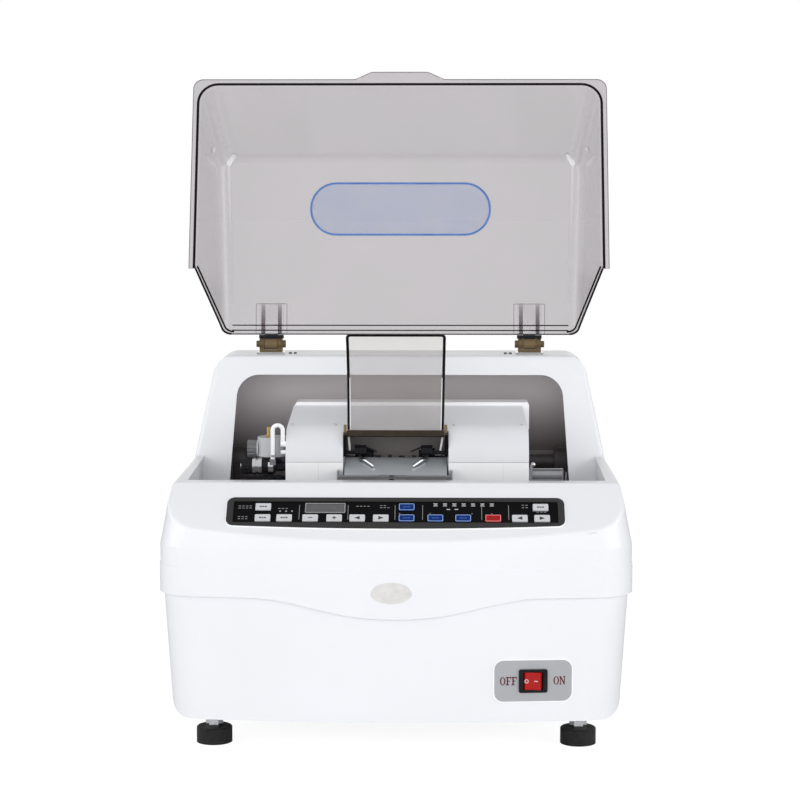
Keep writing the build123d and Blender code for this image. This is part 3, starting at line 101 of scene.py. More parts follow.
class Graph:
    """Builds the nodes of a material or a world around its shader."""

    def __init__(self, owner: Union[bpy.types.Material, bpy.types.World],
                 shader: str = "Principled BSDF") -> None:
        """Start from a new material or world, and the name of its shader.

        Args:
            owner: the material or world.
            shader: the name of its shader node.
        """
        owner.use_nodes = True
        self.tree = owner.node_tree
        self.shader = self.tree.nodes[shader]

    def node(self, kind: str, settings: Dict[str, Any], sockets: Dict[Any, Any], out: Any = 0) -> Signal:
        """Add any node: its settings first, then the values or links of its sockets.

        Args:
            kind: the node's type name.
            settings: the node's own settings.
            sockets: a value or a Signal for each input, by its name or number.
            out: which output to return.

        Returns:
            The chosen output.
        """
        made = self.tree.nodes.new(kind)
        for name, value in settings.items():
            setattr(made, name, value)
        for name, value in sockets.items():
            if isinstance(value, Signal):
                self.tree.links.new(value.socket, made.inputs[name])
            else:
                made.inputs[name].default_value = value
        return Signal(self, made.outputs[out])

    def set(self, name: str, value: Any) -> None:
        """Set a shader socket to a value, or link it to a Signal.

        Args:
            name: the socket's name.
            value: a plain value, or the Signal to link.
        """
        if isinstance(value, Signal):
            self.tree.links.new(value.socket, self.shader.inputs[name])
        else:
            self.shader.inputs[name].default_value = value

    def place(self) -> Signal:
        """Return each point's place in the part's own frame, in metres."""
        return self.node("ShaderNodeTexCoord", {}, {}, "Object")

    def axis(self, letter: str) -> Signal:
        """Return one coordinate, X, Y or Z, of each point's place."""
        return self.node("ShaderNodeSeparateXYZ", {}, {0: self.place()}, letter)

    def noise(self, size: float, detail: float = 3.0, stretch: Point3 = (1.0, 1.0, 1.0)) -> Signal:
        """Return noise from 0 to 1.

        Args:
            size: how large a blotch is, in metres.
            detail: how many finer layers it has.
            stretch: how many times finer it is along each axis.

        Returns:
            The noise.
        """
        placed = self.node("ShaderNodeMapping", {}, {"Vector": self.place(), "Scale": stretch})
        sockets = {"Vector": placed, "Scale": 1.0 / size, "Detail": detail}
        return self.node("ShaderNodeTexNoise", {}, sockets)

    def steps(self, value: Number, low: float, high: float) -> Signal:
        """Return value spread from low..high to 0..1, held at both ends."""
        return self.node("ShaderNodeMapRange", {"clamp": True}, {0: value, 1: low, 2: high, 3: 0.0, 4: 1.0})

    def mix(self, share: Number, first: Any, second: Any) -> Signal:
        """Blend two colours: share 0 gives the first, and 1 gives the second.

        Args:
            share: how much of the second there is.
            first: a colour or a Signal.
            second: a colour or a Signal.

        Returns:
            The blended colour.
        """
        colors = {6: (*first, 1.0) if isinstance(first, tuple) else first,
                  7: (*second, 1.0) if isinstance(second, tuple) else second}
        return self.node("ShaderNodeMix", {"data_type": "RGBA"}, {0: share, **colors}, 2)

    def bump(self, height: Signal, depth: float) -> None:
        """Raise the surface by height, up to depth metres."""
        sockets = {"Strength": 1.0, "Distance": depth, "Height": height}
        self.set("Normal", self.node("ShaderNodeBump", {}, sockets))

    def held(self, value: Number, most: float = 1.0) -> Signal:
        """Return value held between 0 and most."""
        return self.node("ShaderNodeClamp", {}, {"Value": value, "Min": 0.0, "Max": most})

    def vector(self, operation: str, sockets: Dict[Any, Any], out: Any = 0) -> Signal:
        """Return a Vector Math node's output."""
        return self.node("ShaderNodeVectorMath", {"operation": operation}, sockets, out)

    def facing(self) -> Signal:
        """Return 0 where a surface is seen face on, rising to 1 along its outline."""
        return self.node("ShaderNodeLayerWeight", {}, {"Blend": 0.25}, "Facing")

    def blotched(self, finish: "Finish") -> Signal:
        """Return a finish's colour, with blotches of its tint."""
        blotch = self.noise(finish.mottle[1], 4.0, finish.stretch)
        return self.mix(self.steps(blotch, 0.35, 0.75) * finish.mottle[0], finish.color, finish.tint)

    def inside(self, low: Point3, high: Point3) -> Signal:
        """Return 1 inside a box of the part's frame, and 0 outside it.

        Args:
            low: the box's least corner.
            high: its greatest corner.

        Returns:
            The mask.
        """
        result: Number = 1.0
        for letter, least, most in zip("XYZ", low, high):
            coordinate = self.axis(letter)
            result = (coordinate > least) * (coordinate < most) * result
        return result


# ---------------------------------------------------------------------------- finishes
@dataclass(frozen=True)
class Finish:
    """A surface of one material with mottled colour, uneven gloss and fine relief.

    mottle is how strong its blotches are and how large, and relief is its depth and its grain, in metres.
    """

    name: str
    color: Color
    tint: Color
    roughness: float
    metallic: float = 0.0
    coat: float = 0.0
    specular: float = 0.5
    mottle: Point2 = (0.5, 0.006)
    stretch: Point3 = (1.0, 1.0, 1.0)
    gloss_spread: float = 0.08
    relief: Point2 = (0.00002, 0.001)
    COAT_ROUGHNESS: ClassVar[float] = 0.08

    def build(self) -> bpy.types.Material:
        """Return the finished material.

        Returns:
            The new material.
        """
        material = bpy.data.materials.new(self.name)
        self.paint(Graph(material))
        return material

    def paint(self, graph: Graph) -> None:
        """Give the shader its colour, gloss and relief.

        Args:
            graph: the material's nodes.
        """
        graph.set("Base Color", graph.blotched(self))
        graph.set("Roughness", self.uneven(graph))
        graph.set("Metallic", self.metallic)
        graph.set("Coat Weight", self.coat)
        graph.set("Coat Roughness", self.COAT_ROUGHNESS)
        graph.set("Specular IOR Level", self.specular)
        if self.relief[0]:
            graph.bump(graph.noise(self.relief[1], 2.0, self.stretch), self.relief[0])

    def uneven(self, graph: Graph) -> Signal:
        """Return a roughness that wanders about its middle value."""
        wander = graph.noise(self.mottle[1] * 0.4, 3.0, self.stretch)
        return wander * self.gloss_spread + (self.roughness - self.gloss_spread / 2)


@dataclass(frozen=True)
class BandedFinish(Finish):
    """A finish that is another one inside some boxes of the part's frame."""

    layers: Tuple[Tuple[Finish, Sequence[Box]], ...] = ()

    def paint(self, graph: Graph) -> None:
        """Paint the main finish, then each other one where its boxes are.

        Args:
            graph: the material's nodes.
        """
        super().paint(graph)
        blotch = graph.noise(self.mottle[1], 4.0) * self.mottle[0]
        color = graph.mix(blotch, self.color, self.tint)
        metallic: Number = self.metallic
        roughness: Number = self.uneven(graph)
        for finish, boxes in self.layers:
            mask: Number = 0.0
            for low, high in boxes:
                mask = graph.inside(low, high) + mask
            mask = graph.steps(mask, 0.0, 1.0)
            color = graph.mix(mask, color, graph.mix(blotch, finish.color, finish.tint))
            metallic = mask * finish.metallic + (1.0 - mask) * metallic
            roughness = mask * finish.roughness + (1.0 - mask) * roughness
        graph.set("Base Color", color)
        graph.set("Metallic", metallic)
        graph.set("Roughness", roughness)


@dataclass(frozen=True)
class SmokedFinish(Finish):
    """Clear smoke-grey plastic: thin face on, darker where it is seen along its wall."""

    clear: float = 0.22
    edge: float = 0.62

    def paint(self, graph: Graph) -> None:
        """Paint a thin tint that deepens at grazing angles.

        Args:
            graph: the material's nodes.
        """
        super().paint(graph)
        haze = graph.noise(0.08, 3.0) * 0.05
        graph.set("Alpha", graph.facing() ** 2.2 * self.edge + haze + (self.clear - 0.025))


@dataclass(frozen=True)
class SmokeWithPaintedHighlights(SmokedFinish):
    """Smoked plastic with painted highlights: pale, less clear bands along the bends of the moulding.

    Each bend is laid out on the closed lid's left or right half: start, end, half width, strength at
    the start, and strength at the end.
    """

    bends: Tuple[Tuple[Point3, Point3, float, float, float], ...] = ()
    pale: Color = (0.90, 0.89, 0.92)

    def paint(self, graph: Graph) -> None:
        """Paint the smoke, and paint highlights along the bends.

        Args:
            graph: the material's nodes.
        """
        super().paint(graph)
        halved = graph.vector("ABSOLUTE", {0: graph.place()})
        sides = graph.node("ShaderNodeSeparateXYZ", {}, {0: halved}, "X")
        heights = {letter: graph.axis(letter) for letter in "YZ"}
        place = graph.node("ShaderNodeCombineXYZ", {}, {"X": sides, **heights})
        turn, gleam = opened_lid(), 0.0
        for start, end, width, first, last in self.bends:
            start, end = turn @ Vector(start), turn @ Vector(end)
            way, length = tuple((end - start).normalized()), (end - start).length
            reach = graph.vector("SUBTRACT", {0: place, 1: tuple(start)})
            run = graph.held(graph.vector("DOT_PRODUCT", {0: reach, 1: way}, "Value"), length)
            foot = graph.vector("SCALE", {0: way, "Scale": run})
            gap = graph.vector("DISTANCE", {0: reach, 1: foot}, "Value")
            shown = graph.steps(run, 0.0, length) * (last - first) + first
            gleam = graph.steps(gap, width, width * 0.25) * shown + gleam
        # painted highlight: each bend turns pale and less clear
        pale = graph.held(gleam)
        graph.set("Base Color", graph.mix(pale, graph.blotched(self), self.pale))
        smoke = graph.facing() ** 2.2 * self.edge + (self.clear - 0.002)
        graph.set("Alpha", smoke + pale * (0.9 - self.clear))


@dataclass(frozen=True)
class PaintedShadeFinish(Finish):
    """A finish whose colour changes between two heights, used to paint shade: dark low down, pale high up."""

    upper: Color = (0.3, 0.3, 0.3)
    low_z: float = 0.25
    high_z: float = 0.40

    def paint(self, graph: Graph) -> None:
        """Paint the lower colour, and blend it into the upper one.

        Args:
            graph: the material's nodes.
        """
        super().paint(graph)
        height = graph.steps(graph.axis("Z"), self.low_z, self.high_z)
        graph.set("Base Color", graph.mix(height, graph.blotched(self), self.upper))


@dataclass(frozen=True)
class LeafFinish(Finish):
    """Clear smoked hinge leaf: its two ribs darken down to a bronze knuckle."""

    leaf_x: float = 0.159
    rib: Point2 = (0.0078, 0.0126)
    knuckle_z: float = 0.4326
    block_z: float = 0.4372
    top_z: float = 0.4765
    clear: float = 0.05
    rib_color: Color = (0.022, 0.016, 0.016)

    def paint(self, graph: Graph) -> None:
        """Paint the bronze below, and the clear plate with its ribs above.

        Args:
            graph: the material's nodes.
        """
        super().paint(graph)
        off_middle = abs(abs(graph.axis("X")) - self.leaf_x)
        height = graph.axis("Z")
        fade = graph.steps(height, self.top_z, self.block_z) ** 0.6
        ribs = (off_middle > self.rib[0]) * (off_middle < self.rib[1]) * fade * 0.9
        knuckle = height < self.knuckle_z
        graph.set("Alpha", (height < self.block_z).above(ribs + self.clear))
        graph.set("Base Color", graph.mix(knuckle, self.rib_color, self.color))
        graph.set("Metallic", knuckle * self.metallic)


@dataclass(frozen=True)
class GrittyFinish(Finish):
    """Sintered abrasive: sharp grains of two colours."""

    grain: float = 0.0006

    def paint(self, graph: Graph) -> None:
        """Paint grains over the plain finish.

        Args:
            graph: the material's nodes.
        """
        super().paint(graph)
        cells = graph.node("ShaderNodeTexVoronoi", {}, {"Vector": graph.place(), "Scale": 1 / self.grain}, 0)
        graph.set("Base Color", graph.mix(graph.steps(cells, 0.1, 0.7), self.color, self.tint))
        graph.bump(cells, 0.00012)


PRINT = {"mottle": (0.5, 0.003), "relief": (0.000004, 0.0005)}
EDGING = {"mottle": (0.4, 0.004), "relief": (0.000006, 0.0006)}
MOULDED = {"specular": 0.12, "relief": (0.000012, 0.0007)}
SHELL = {"coat": 0.1, "mottle": (0.3, 0.05), "relief": (0.000015, 0.0012)}
PLAIN = {"mottle": (0.15, 0.05), "relief": (0.00002, 0.002)}


class Look(Enum):
    """Every finish of the machine."""

    CASE = Finish("case_white", (0.83, 0.845, 0.88), (0.78, 0.79, 0.825), 0.32, coat=0.25, gloss_spread=0.06,
        mottle=(0.3, 0.11), relief=(0.00001, 0.0022))
    COVER = Finish("cover_white", (0.76, 0.775, 0.81), (0.69, 0.705, 0.745), 0.36, **SHELL)
    # painted light: a brighter copy of the cover's white that offsets the shade on the arm covers
    ARM = Finish("arm_white_painted_light", (0.95, 0.96, 0.975), (0.9, 0.91, 0.93), 0.36, **SHELL)
    BACKING = Finish("frame_white", (0.86, 0.86, 0.875), (0.78, 0.78, 0.8), 0.42, mottle=(0.3, 0.05),
        relief=(0.00002, 0.002))
    # the lid's bends are painted highlights along the rounded corners and across the top of the shell
    LID = SmokeWithPaintedHighlights("smoke_lid", (0.235, 0.185, 0.225), (0.165, 0.15, 0.157), 0.1, coat=0.5,
        gloss_spread=0.04, mottle=(0.4, 0.07), relief=(0.0, 0.002), clear=0.338, edge=0.6,
        bends=(((0.23, -0.1395, 0.2967), (0.215, -0.081, 0.3811), 0.0085, 0.18, 0.55),
               ((0.2125, -0.0797, 0.387), (0.2075, 0.0903, 0.4172), 0.0036, 0.75, 0.12),
               ((0.2265, -0.0797, 0.364), (0.219, 0.0903, 0.404), 0.0036, 0.45, 0.05),
               ((0.211, -0.08, 0.3868), (0.206, -0.0872, 0.382), 0.005, 1.0, 1.0),
               ((0.227, -0.086, 0.356), (0.2275, -0.0835, 0.353), 0.006, 1.0, 1.0),
               ((0.0, -0.0846, 0.385), (0.205, -0.0846, 0.385), 0.007, 0.16, 0.16)))
    FLAP = SmokedFinish("smoke_flap", (0.3, 0.255, 0.235), (0.24, 0.205, 0.19), 0.12, coat=0.5,
        mottle=(0.4, 0.02), relief=(0.0, 0.002), clear=0.2, edge=0.4)
    # painted shade: the liner is dark at the bottom and pale at the top, as light falls off down into the
    # chamber
    LINER = PaintedShadeFinish("liner_grey", (0.15, 0.13, 0.13), (0.1, 0.086, 0.084), 0.5, mottle=(0.45, 0.09),
        relief=(0.00003, 0.0015), upper=(0.82, 0.78, 0.8), low_z=0.295, high_z=0.385)
    BAY = Finish("bay_dark", (0.28, 0.255, 0.255), (0.2, 0.184, 0.184), 0.42, mottle=(0.5, 0.02),
        relief=(0.00004, 0.0015))
    SHAFT = Finish("shaft_dark", (0.045, 0.04, 0.04), (0.07, 0.065, 0.065), 0.5, metallic=0.3,
        mottle=(0.5, 0.01), relief=(0.00001, 0.001))
    SHEET = Finish("steel_sheet", (0.42, 0.445, 0.47), (0.26, 0.28, 0.3), 0.34, metallic=0.75,
        stretch=(0.12, 1.0, 1.0), mottle=(0.5, 0.012), relief=(0.000008, 0.0006))
    TURNED = Finish("steel_turned", (0.56, 0.56, 0.58), (0.34, 0.34, 0.35), 0.26, metallic=1.0,
        stretch=(6.0, 0.4, 0.4), mottle=(0.5, 0.004), relief=(0.000006, 0.0005))
    CAST = Finish("cast_grey", (0.2, 0.21, 0.22), (0.11, 0.11, 0.12), 0.62, metallic=0.4, mottle=(0.6, 0.01),
        relief=(0.00016, 0.0011))
    CHROME = Finish("chrome", (0.72, 0.72, 0.74), (0.4, 0.4, 0.42), 0.12, metallic=1.0, mottle=(0.4, 0.006),
        relief=(0.000004, 0.0008))
    BRONZE = Finish("bronze", (0.15, 0.105, 0.05), (0.06, 0.042, 0.022), 0.38, metallic=0.4,
        mottle=(0.7, 0.006), relief=(0.00002, 0.0008))
    LEAF = LeafFinish("leaf_smoke", (0.15, 0.105, 0.05), (0.06, 0.042, 0.022), 0.36, specular=0.3, **PLAIN)
    BAR = Finish("bar_bronze", (0.04, 0.03, 0.018), (0.018, 0.014, 0.009), 0.5, specular=0.2,
        mottle=(0.6, 0.008), relief=(0.00002, 0.0008))
    CUT_EDGE = Finish("cut_edge_black", (0.003, 0.0025, 0.003), (0.007, 0.006, 0.0065), 0.5, specular=0.08,
        mottle=(0.4, 0.02), relief=(0.000004, 0.002))
    # grey of faint edge lines, also used for painted shade along the apron's fold
    FAINT_EDGE = Finish("faint_edge_and_shade_grey", (0.16, 0.15, 0.155), (0.1, 0.095, 0.1), 0.35, mottle=(0.4, 0.02),
        relief=(0.000004, 0.002))
    BRASS = Finish("brass", (0.6, 0.4, 0.14), (0.33, 0.2, 0.07), 0.24, metallic=1.0, mottle=(0.5, 0.004),
        relief=(0.00001, 0.0005))
    DARK_BRASS = Finish("dark_brass", (0.22, 0.17, 0.075), (0.11, 0.085, 0.04), 0.36, metallic=0.5,
        mottle=(0.5, 0.004), relief=(0.00001, 0.0005))
    RUBBER = Finish("foot_rubber", (0.01, 0.01, 0.011), (0.024, 0.023, 0.022), 0.62, specular=0.25,
        mottle=(0.6, 0.006), relief=(0.00005, 0.0007))
    BLACK = Finish("black_plastic", (0.01, 0.01, 0.012), (0.022, 0.022, 0.025), 0.36, specular=0.12,
        relief=(0.00002, 0.0007))
    GREY = Finish("grey_plastic", (0.5, 0.51, 0.53), (0.38, 0.39, 0.41), 0.4, mottle=(0.5, 0.01))
    BEZEL = Finish("panel_grey", (0.03, 0.029, 0.03), (0.042, 0.041, 0.043), 0.42, specular=0.15,
        mottle=(0.5, 0.05), relief=(0.000012, 0.0008))
    PANEL = Finish("panel_black", (0.0035, 0.0035, 0.004), (0.006, 0.006, 0.007), 0.6, specular=0.04,
        mottle=(0.5, 0.02), relief=(0.000006, 0.0009))
    WINDOW = Finish("window_dark", (0.055, 0.052, 0.056), (0.1, 0.095, 0.1), 0.16, coat=0.5,
        mottle=(0.5, 0.008), relief=(0.000004, 0.001))
    KEY_WHITE = Finish("key_white", (0.6, 0.61, 0.63), (0.48, 0.49, 0.51), 0.34, mottle=(0.4, 0.006),
        relief=(0.000012, 0.0007))
    KEY_BLUE = Finish("key_blue", (0.003, 0.027, 0.17), (0.002, 0.018, 0.12), 0.36, **MOULDED)
    KEY_RED = Finish("key_red", (0.42, 0.01, 0.009), (0.3, 0.007, 0.007), 0.36, **MOULDED)
    ROCKER = Finish("rocker_red", (0.42, 0.007, 0.004), (0.28, 0.004, 0.003), 0.24, coat=0.15, specular=0.3,
        relief=(0.000008, 0.0008))
    DARK_GREY = Finish("dark_grey_plastic", (0.17, 0.175, 0.18), (0.1, 0.105, 0.11), 0.42, **PLAIN)
    PLATE = Finish("switch_grey", (0.45, 0.465, 0.485), (0.41, 0.42, 0.44), 0.34, metallic=0.35,
        mottle=(0.4, 0.02), relief=(0.000008, 0.0006))
    BOARD = Finish("board_green", (0.012, 0.085, 0.04), (0.03, 0.14, 0.07), 0.4, mottle=(0.6, 0.003),
        relief=(0.00003, 0.001))
    MOTOR = Finish("motor_paint", (0.045, 0.06, 0.075), (0.02, 0.028, 0.035), 0.42, mottle=(0.5, 0.012),
        relief=(0.00003, 0.001))
    GRIT = GrittyFinish("abrasive", (0.2, 0.16, 0.105), (0.07, 0.06, 0.045), 0.68, metallic=0.3, **PLAIN)
    BELT = Finish("belt_rubber", (0.02, 0.02, 0.02), (0.04, 0.04, 0.038), 0.66, mottle=(0.5, 0.005),
        relief=(0.00006, 0.001))
    CYLINDER = Finish("cylinder_satin", (0.32, 0.325, 0.34), (0.22, 0.225, 0.24), 0.34, metallic=0.3,
        stretch=(0.3, 4.0, 4.0), mottle=(0.5, 0.004), relief=(0.00001, 0.0006))
    # white plastic of the hose and slats, also used for painted highlights on the bezel and the flap
    HOSE = Finish("hose_white", (0.94, 0.945, 0.95), (0.86, 0.865, 0.87), 0.3, mottle=(0.4, 0.01),
        relief=(0.000012, 0.001))
    INK_WHITE = Finish("ink_white", (0.62, 0.63, 0.64), (0.4, 0.41, 0.42), 0.42, **PRINT)
    INK_DIM = Finish("ink_dim", (0.28, 0.28, 0.29), (0.16, 0.16, 0.17), 0.46, mottle=(0.6, 0.003),
        relief=(0.000004, 0.0005))
    INK_BLACK = Finish("ink_black", (0.012, 0.012, 0.014), (0.03, 0.03, 0.03), 0.4, **PRINT)
    INK_RED = Finish("ink_red", (0.1, 0.004, 0.013), (0.06, 0.003, 0.008), 0.42, **PRINT)
    INK_BLUE = Finish("ink_blue", (0.02, 0.08, 0.32), (0.012, 0.05, 0.2), 0.42, **PRINT)
    # silver of the key borders, also used for a painted highlight on the apron's lower edge
    EDGE_SILVER = Finish("edge_silver", (0.66, 0.67, 0.69), (0.46, 0.47, 0.49), 0.26, metallic=0.4, **EDGING)
    EDGE_BLUE = Finish("edge_blue", (0.36, 0.55, 0.92), (0.22, 0.4, 0.8), 0.3, **EDGING)
    EDGE_PINK = Finish("edge_pink", (0.92, 0.36, 0.37), (0.8, 0.22, 0.24), 0.3, **EDGING)
    FROST = SmokedFinish("frosted_film", (0.38, 0.44, 0.64), (0.48, 0.5, 0.62), 0.45, mottle=(0.8, 0.03),
        relief=(0.00003, 0.001), clear=0.3, edge=0.1)
    DECAL_BLUE = Finish("decal_blue", (0.055, 0.15, 0.42), (0.11, 0.25, 0.58), 0.34, mottle=(0.8, 0.02))
    BADGE = Finish("badge_pearl", (0.8, 0.79, 0.78), (0.66, 0.65, 0.64), 0.3, metallic=0.35, coat=0.3,
        mottle=(0.7, 0.006), relief=(0.00003, 0.0018))


def opened_lid() -> Matrix:
    """Return the turn from the closed lid to the lid at rest.

    Returns:
        The matrix of that turn, about the hinge.
    """
    hinge = JOINTS["lid_hinge"]
    pivot = Matrix.Translation(hinge["pos_m"])
    back = Matrix.Rotation(-math.radians(hinge["range_deg"][1]), 4, Vector(hinge["axis"]))
    return pivot @ back @ pivot.inverted()


class Wardrobe:
    """Builds each material once, when it is first asked for."""

    def __init__(self) -> None:
        """Start with no materials."""
        self.made: Dict[str, bpy.types.Material] = {}

    def material(self, finish: Finish) -> bpy.types.Material:
        """Return the material of a finish.

        Args:
            finish: the finish.

        Returns:
            Its one material.
        """
        if finish.name not in self.made:
            self.made[finish.name] = finish.build()
        return self.made[finish.name]

    def dress(self, node: str, finish: Finish) -> None:
        """Give a node of the part its finish.

        Args:
            node: the node's name.
            finish: the finish.
        """
        slots = NODES[node].data.materials
        slots.clear()
        slots.append(self.material(finish))


WARDROBE = Wardrobe()


# ------------------------------------------------------------------------ mesh helpers
@dataclass(frozen=True)
class Face:
    """A flat face of the part: its middle, its directions and its size."""

    middle: Vector
    right: Vector
    up: Vector
    normal: Vector
    width: float
    height: float

    @staticmethod
    def of(node: str, toward: Sequence[float], least: float = 0.7) -> "Face":
        """Find a node's largest flat face that looks toward a direction.

        Args:
            node: the node's name.
            toward: the direction that the face looks in, roughly.
            least: the least cosine between that direction and the face's own.

        Returns:
            The face, with up as near to the part's Z as it can be.
        """
        mesh = NODES[node].data
        aim = Vector(toward).normalized()
        per_unit, per_metre = 50, 2000
        groups: Dict[Tuple[int, ...], List[bpy.types.MeshPolygon]] = {}
        for polygon in mesh.polygons:
            if polygon.normal.dot(aim) > least:
                offset = round(polygon.normal.dot(polygon.center) * per_metre)
                key = (*(round(part * per_unit) for part in polygon.normal), offset)
                groups.setdefault(key, []).append(polygon)
        best = max(groups.values(), key=lambda polygons: sum(p.area for p in polygons))
        normal = sum((p.normal * p.area for p in best), Vector()).normalized()
        rising = Vector((0, 0, 1)) if abs(normal.z) < 0.95 else Vector((0, 1, 0))
        right = rising.cross(normal).normalized()
        up = normal.cross(right)
        corners = [mesh.vertices[i].co for polygon in best for i in polygon.vertices]
        across = [corner.dot(right) for corner in corners]
        along = [corner.dot(up) for corner in corners]
        out = sum(corner.dot(normal) for corner in corners) / len(corners)
        middle = right * (min(across) + max(across)) / 2 + up * (min(along) + max(along)) / 2 + normal * out
        return Face(middle, right, up, normal, max(across) - min(across), max(along) - min(along))

    def matrix(self, x: float = 0.0, y: float = 0.0, out: float = 0.0) -> Matrix:
        """Return the placing of a point of the face.

        Args:
            x: metres to the right of the face's middle.
            y: metres above it.
            out: metres out of the face.

        Returns:
            The matrix from the face's own frame to the part's.
        """
        origin = self.middle + self.right * x + self.up * y + self.normal * out
        rows = Matrix((self.right, self.up, self.normal)).transposed()
        return Matrix.Translation(origin) @ rows.to_4x4()


def upright(x: float, y: float, z: float) -> Matrix:
    """Return the placing of a shape that stands on a level plane, in metres."""
    return Matrix.Translation((x, y, z))


def along(start: Vector, way: Vector) -> Matrix:
    """Return the placing of a shape whose own Z points along a direction."""
    turn = Vector((0, 0, 1)).rotation_difference(way.normalized()).to_matrix().to_4x4()
    return Matrix.Translation(start) @ turn


def rounded(width: float, height: float, radius: float, steps: int = 6) -> List[Point2]:
    """Return the outline of a rounded rectangle about the origin.

    Args:
        width: its width.
        height: its height.
        radius: the radius of its corners.
        steps: how many pieces each corner has.

    Returns:
        The points, anticlockwise.
    """
    points = []
    for number, (sx, sy) in enumerate(((1, 1), (-1, 1), (-1, -1), (1, -1))):
        for step in range(steps + 1):
            angle = math.radians(90 * (number + step / steps))
            points.append((sx * (width / 2 - radius) + radius * math.cos(angle),
                           sy * (height / 2 - radius) + radius * math.sin(angle)))
    return points


def oval(width: float, height: float, steps: int = 40) -> List[Point2]:
    """Return the outline of an ellipse about the origin."""
    angles = [2 * math.pi * step / steps for step in range(steps)]
    return [(width / 2 * math.cos(angle), height / 2 * math.sin(angle)) for angle in angles]


def moved(outline: Iterable[Point2], x: float, y: float) -> List[Point2]:
    """Return an outline moved across its plane."""
    return [(px + x, py + y) for px, py in outline]


def soft_corners(points: Sequence[Point2], radii: Sequence[float], steps: int = 7) -> List[Point2]:
    """Round the inner corners of an open line.

    Args:
        points: the line's points.
        radii: the radius at each point but the first and last.
        steps: how many pieces each arc has.

    Returns:
        The rounded line.
    """
    line = [points[0]]
    for before, corner, after, radius in zip(points, points[1:], points[2:], radii):
        if not radius:
            line.append(corner)
            continue
        here = Vector(corner)
        back, ahead = Vector(before) - here, Vector(after) - here
        half = back.angle(ahead) / 2
        reach = min(radius / math.tan(half), back.length * 0.49, ahead.length * 0.49)
        back, ahead = back.normalized(), ahead.normalized()
        middle = here + (back + ahead).normalized() * (reach / math.cos(half))
        first, last = here + back * reach - middle, here + ahead * reach - middle
        start = math.atan2(first.y, first.x)
        sweep = (math.atan2(last.y, last.x) - start + math.pi) % (2 * math.pi) - math.pi
        for step in range(steps + 1):
            angle = start + sweep * step / steps
            line.append((middle.x + first.length * math.cos(angle),
                         middle.y + first.length * math.sin(angle)))
    return line + [points[-1]]


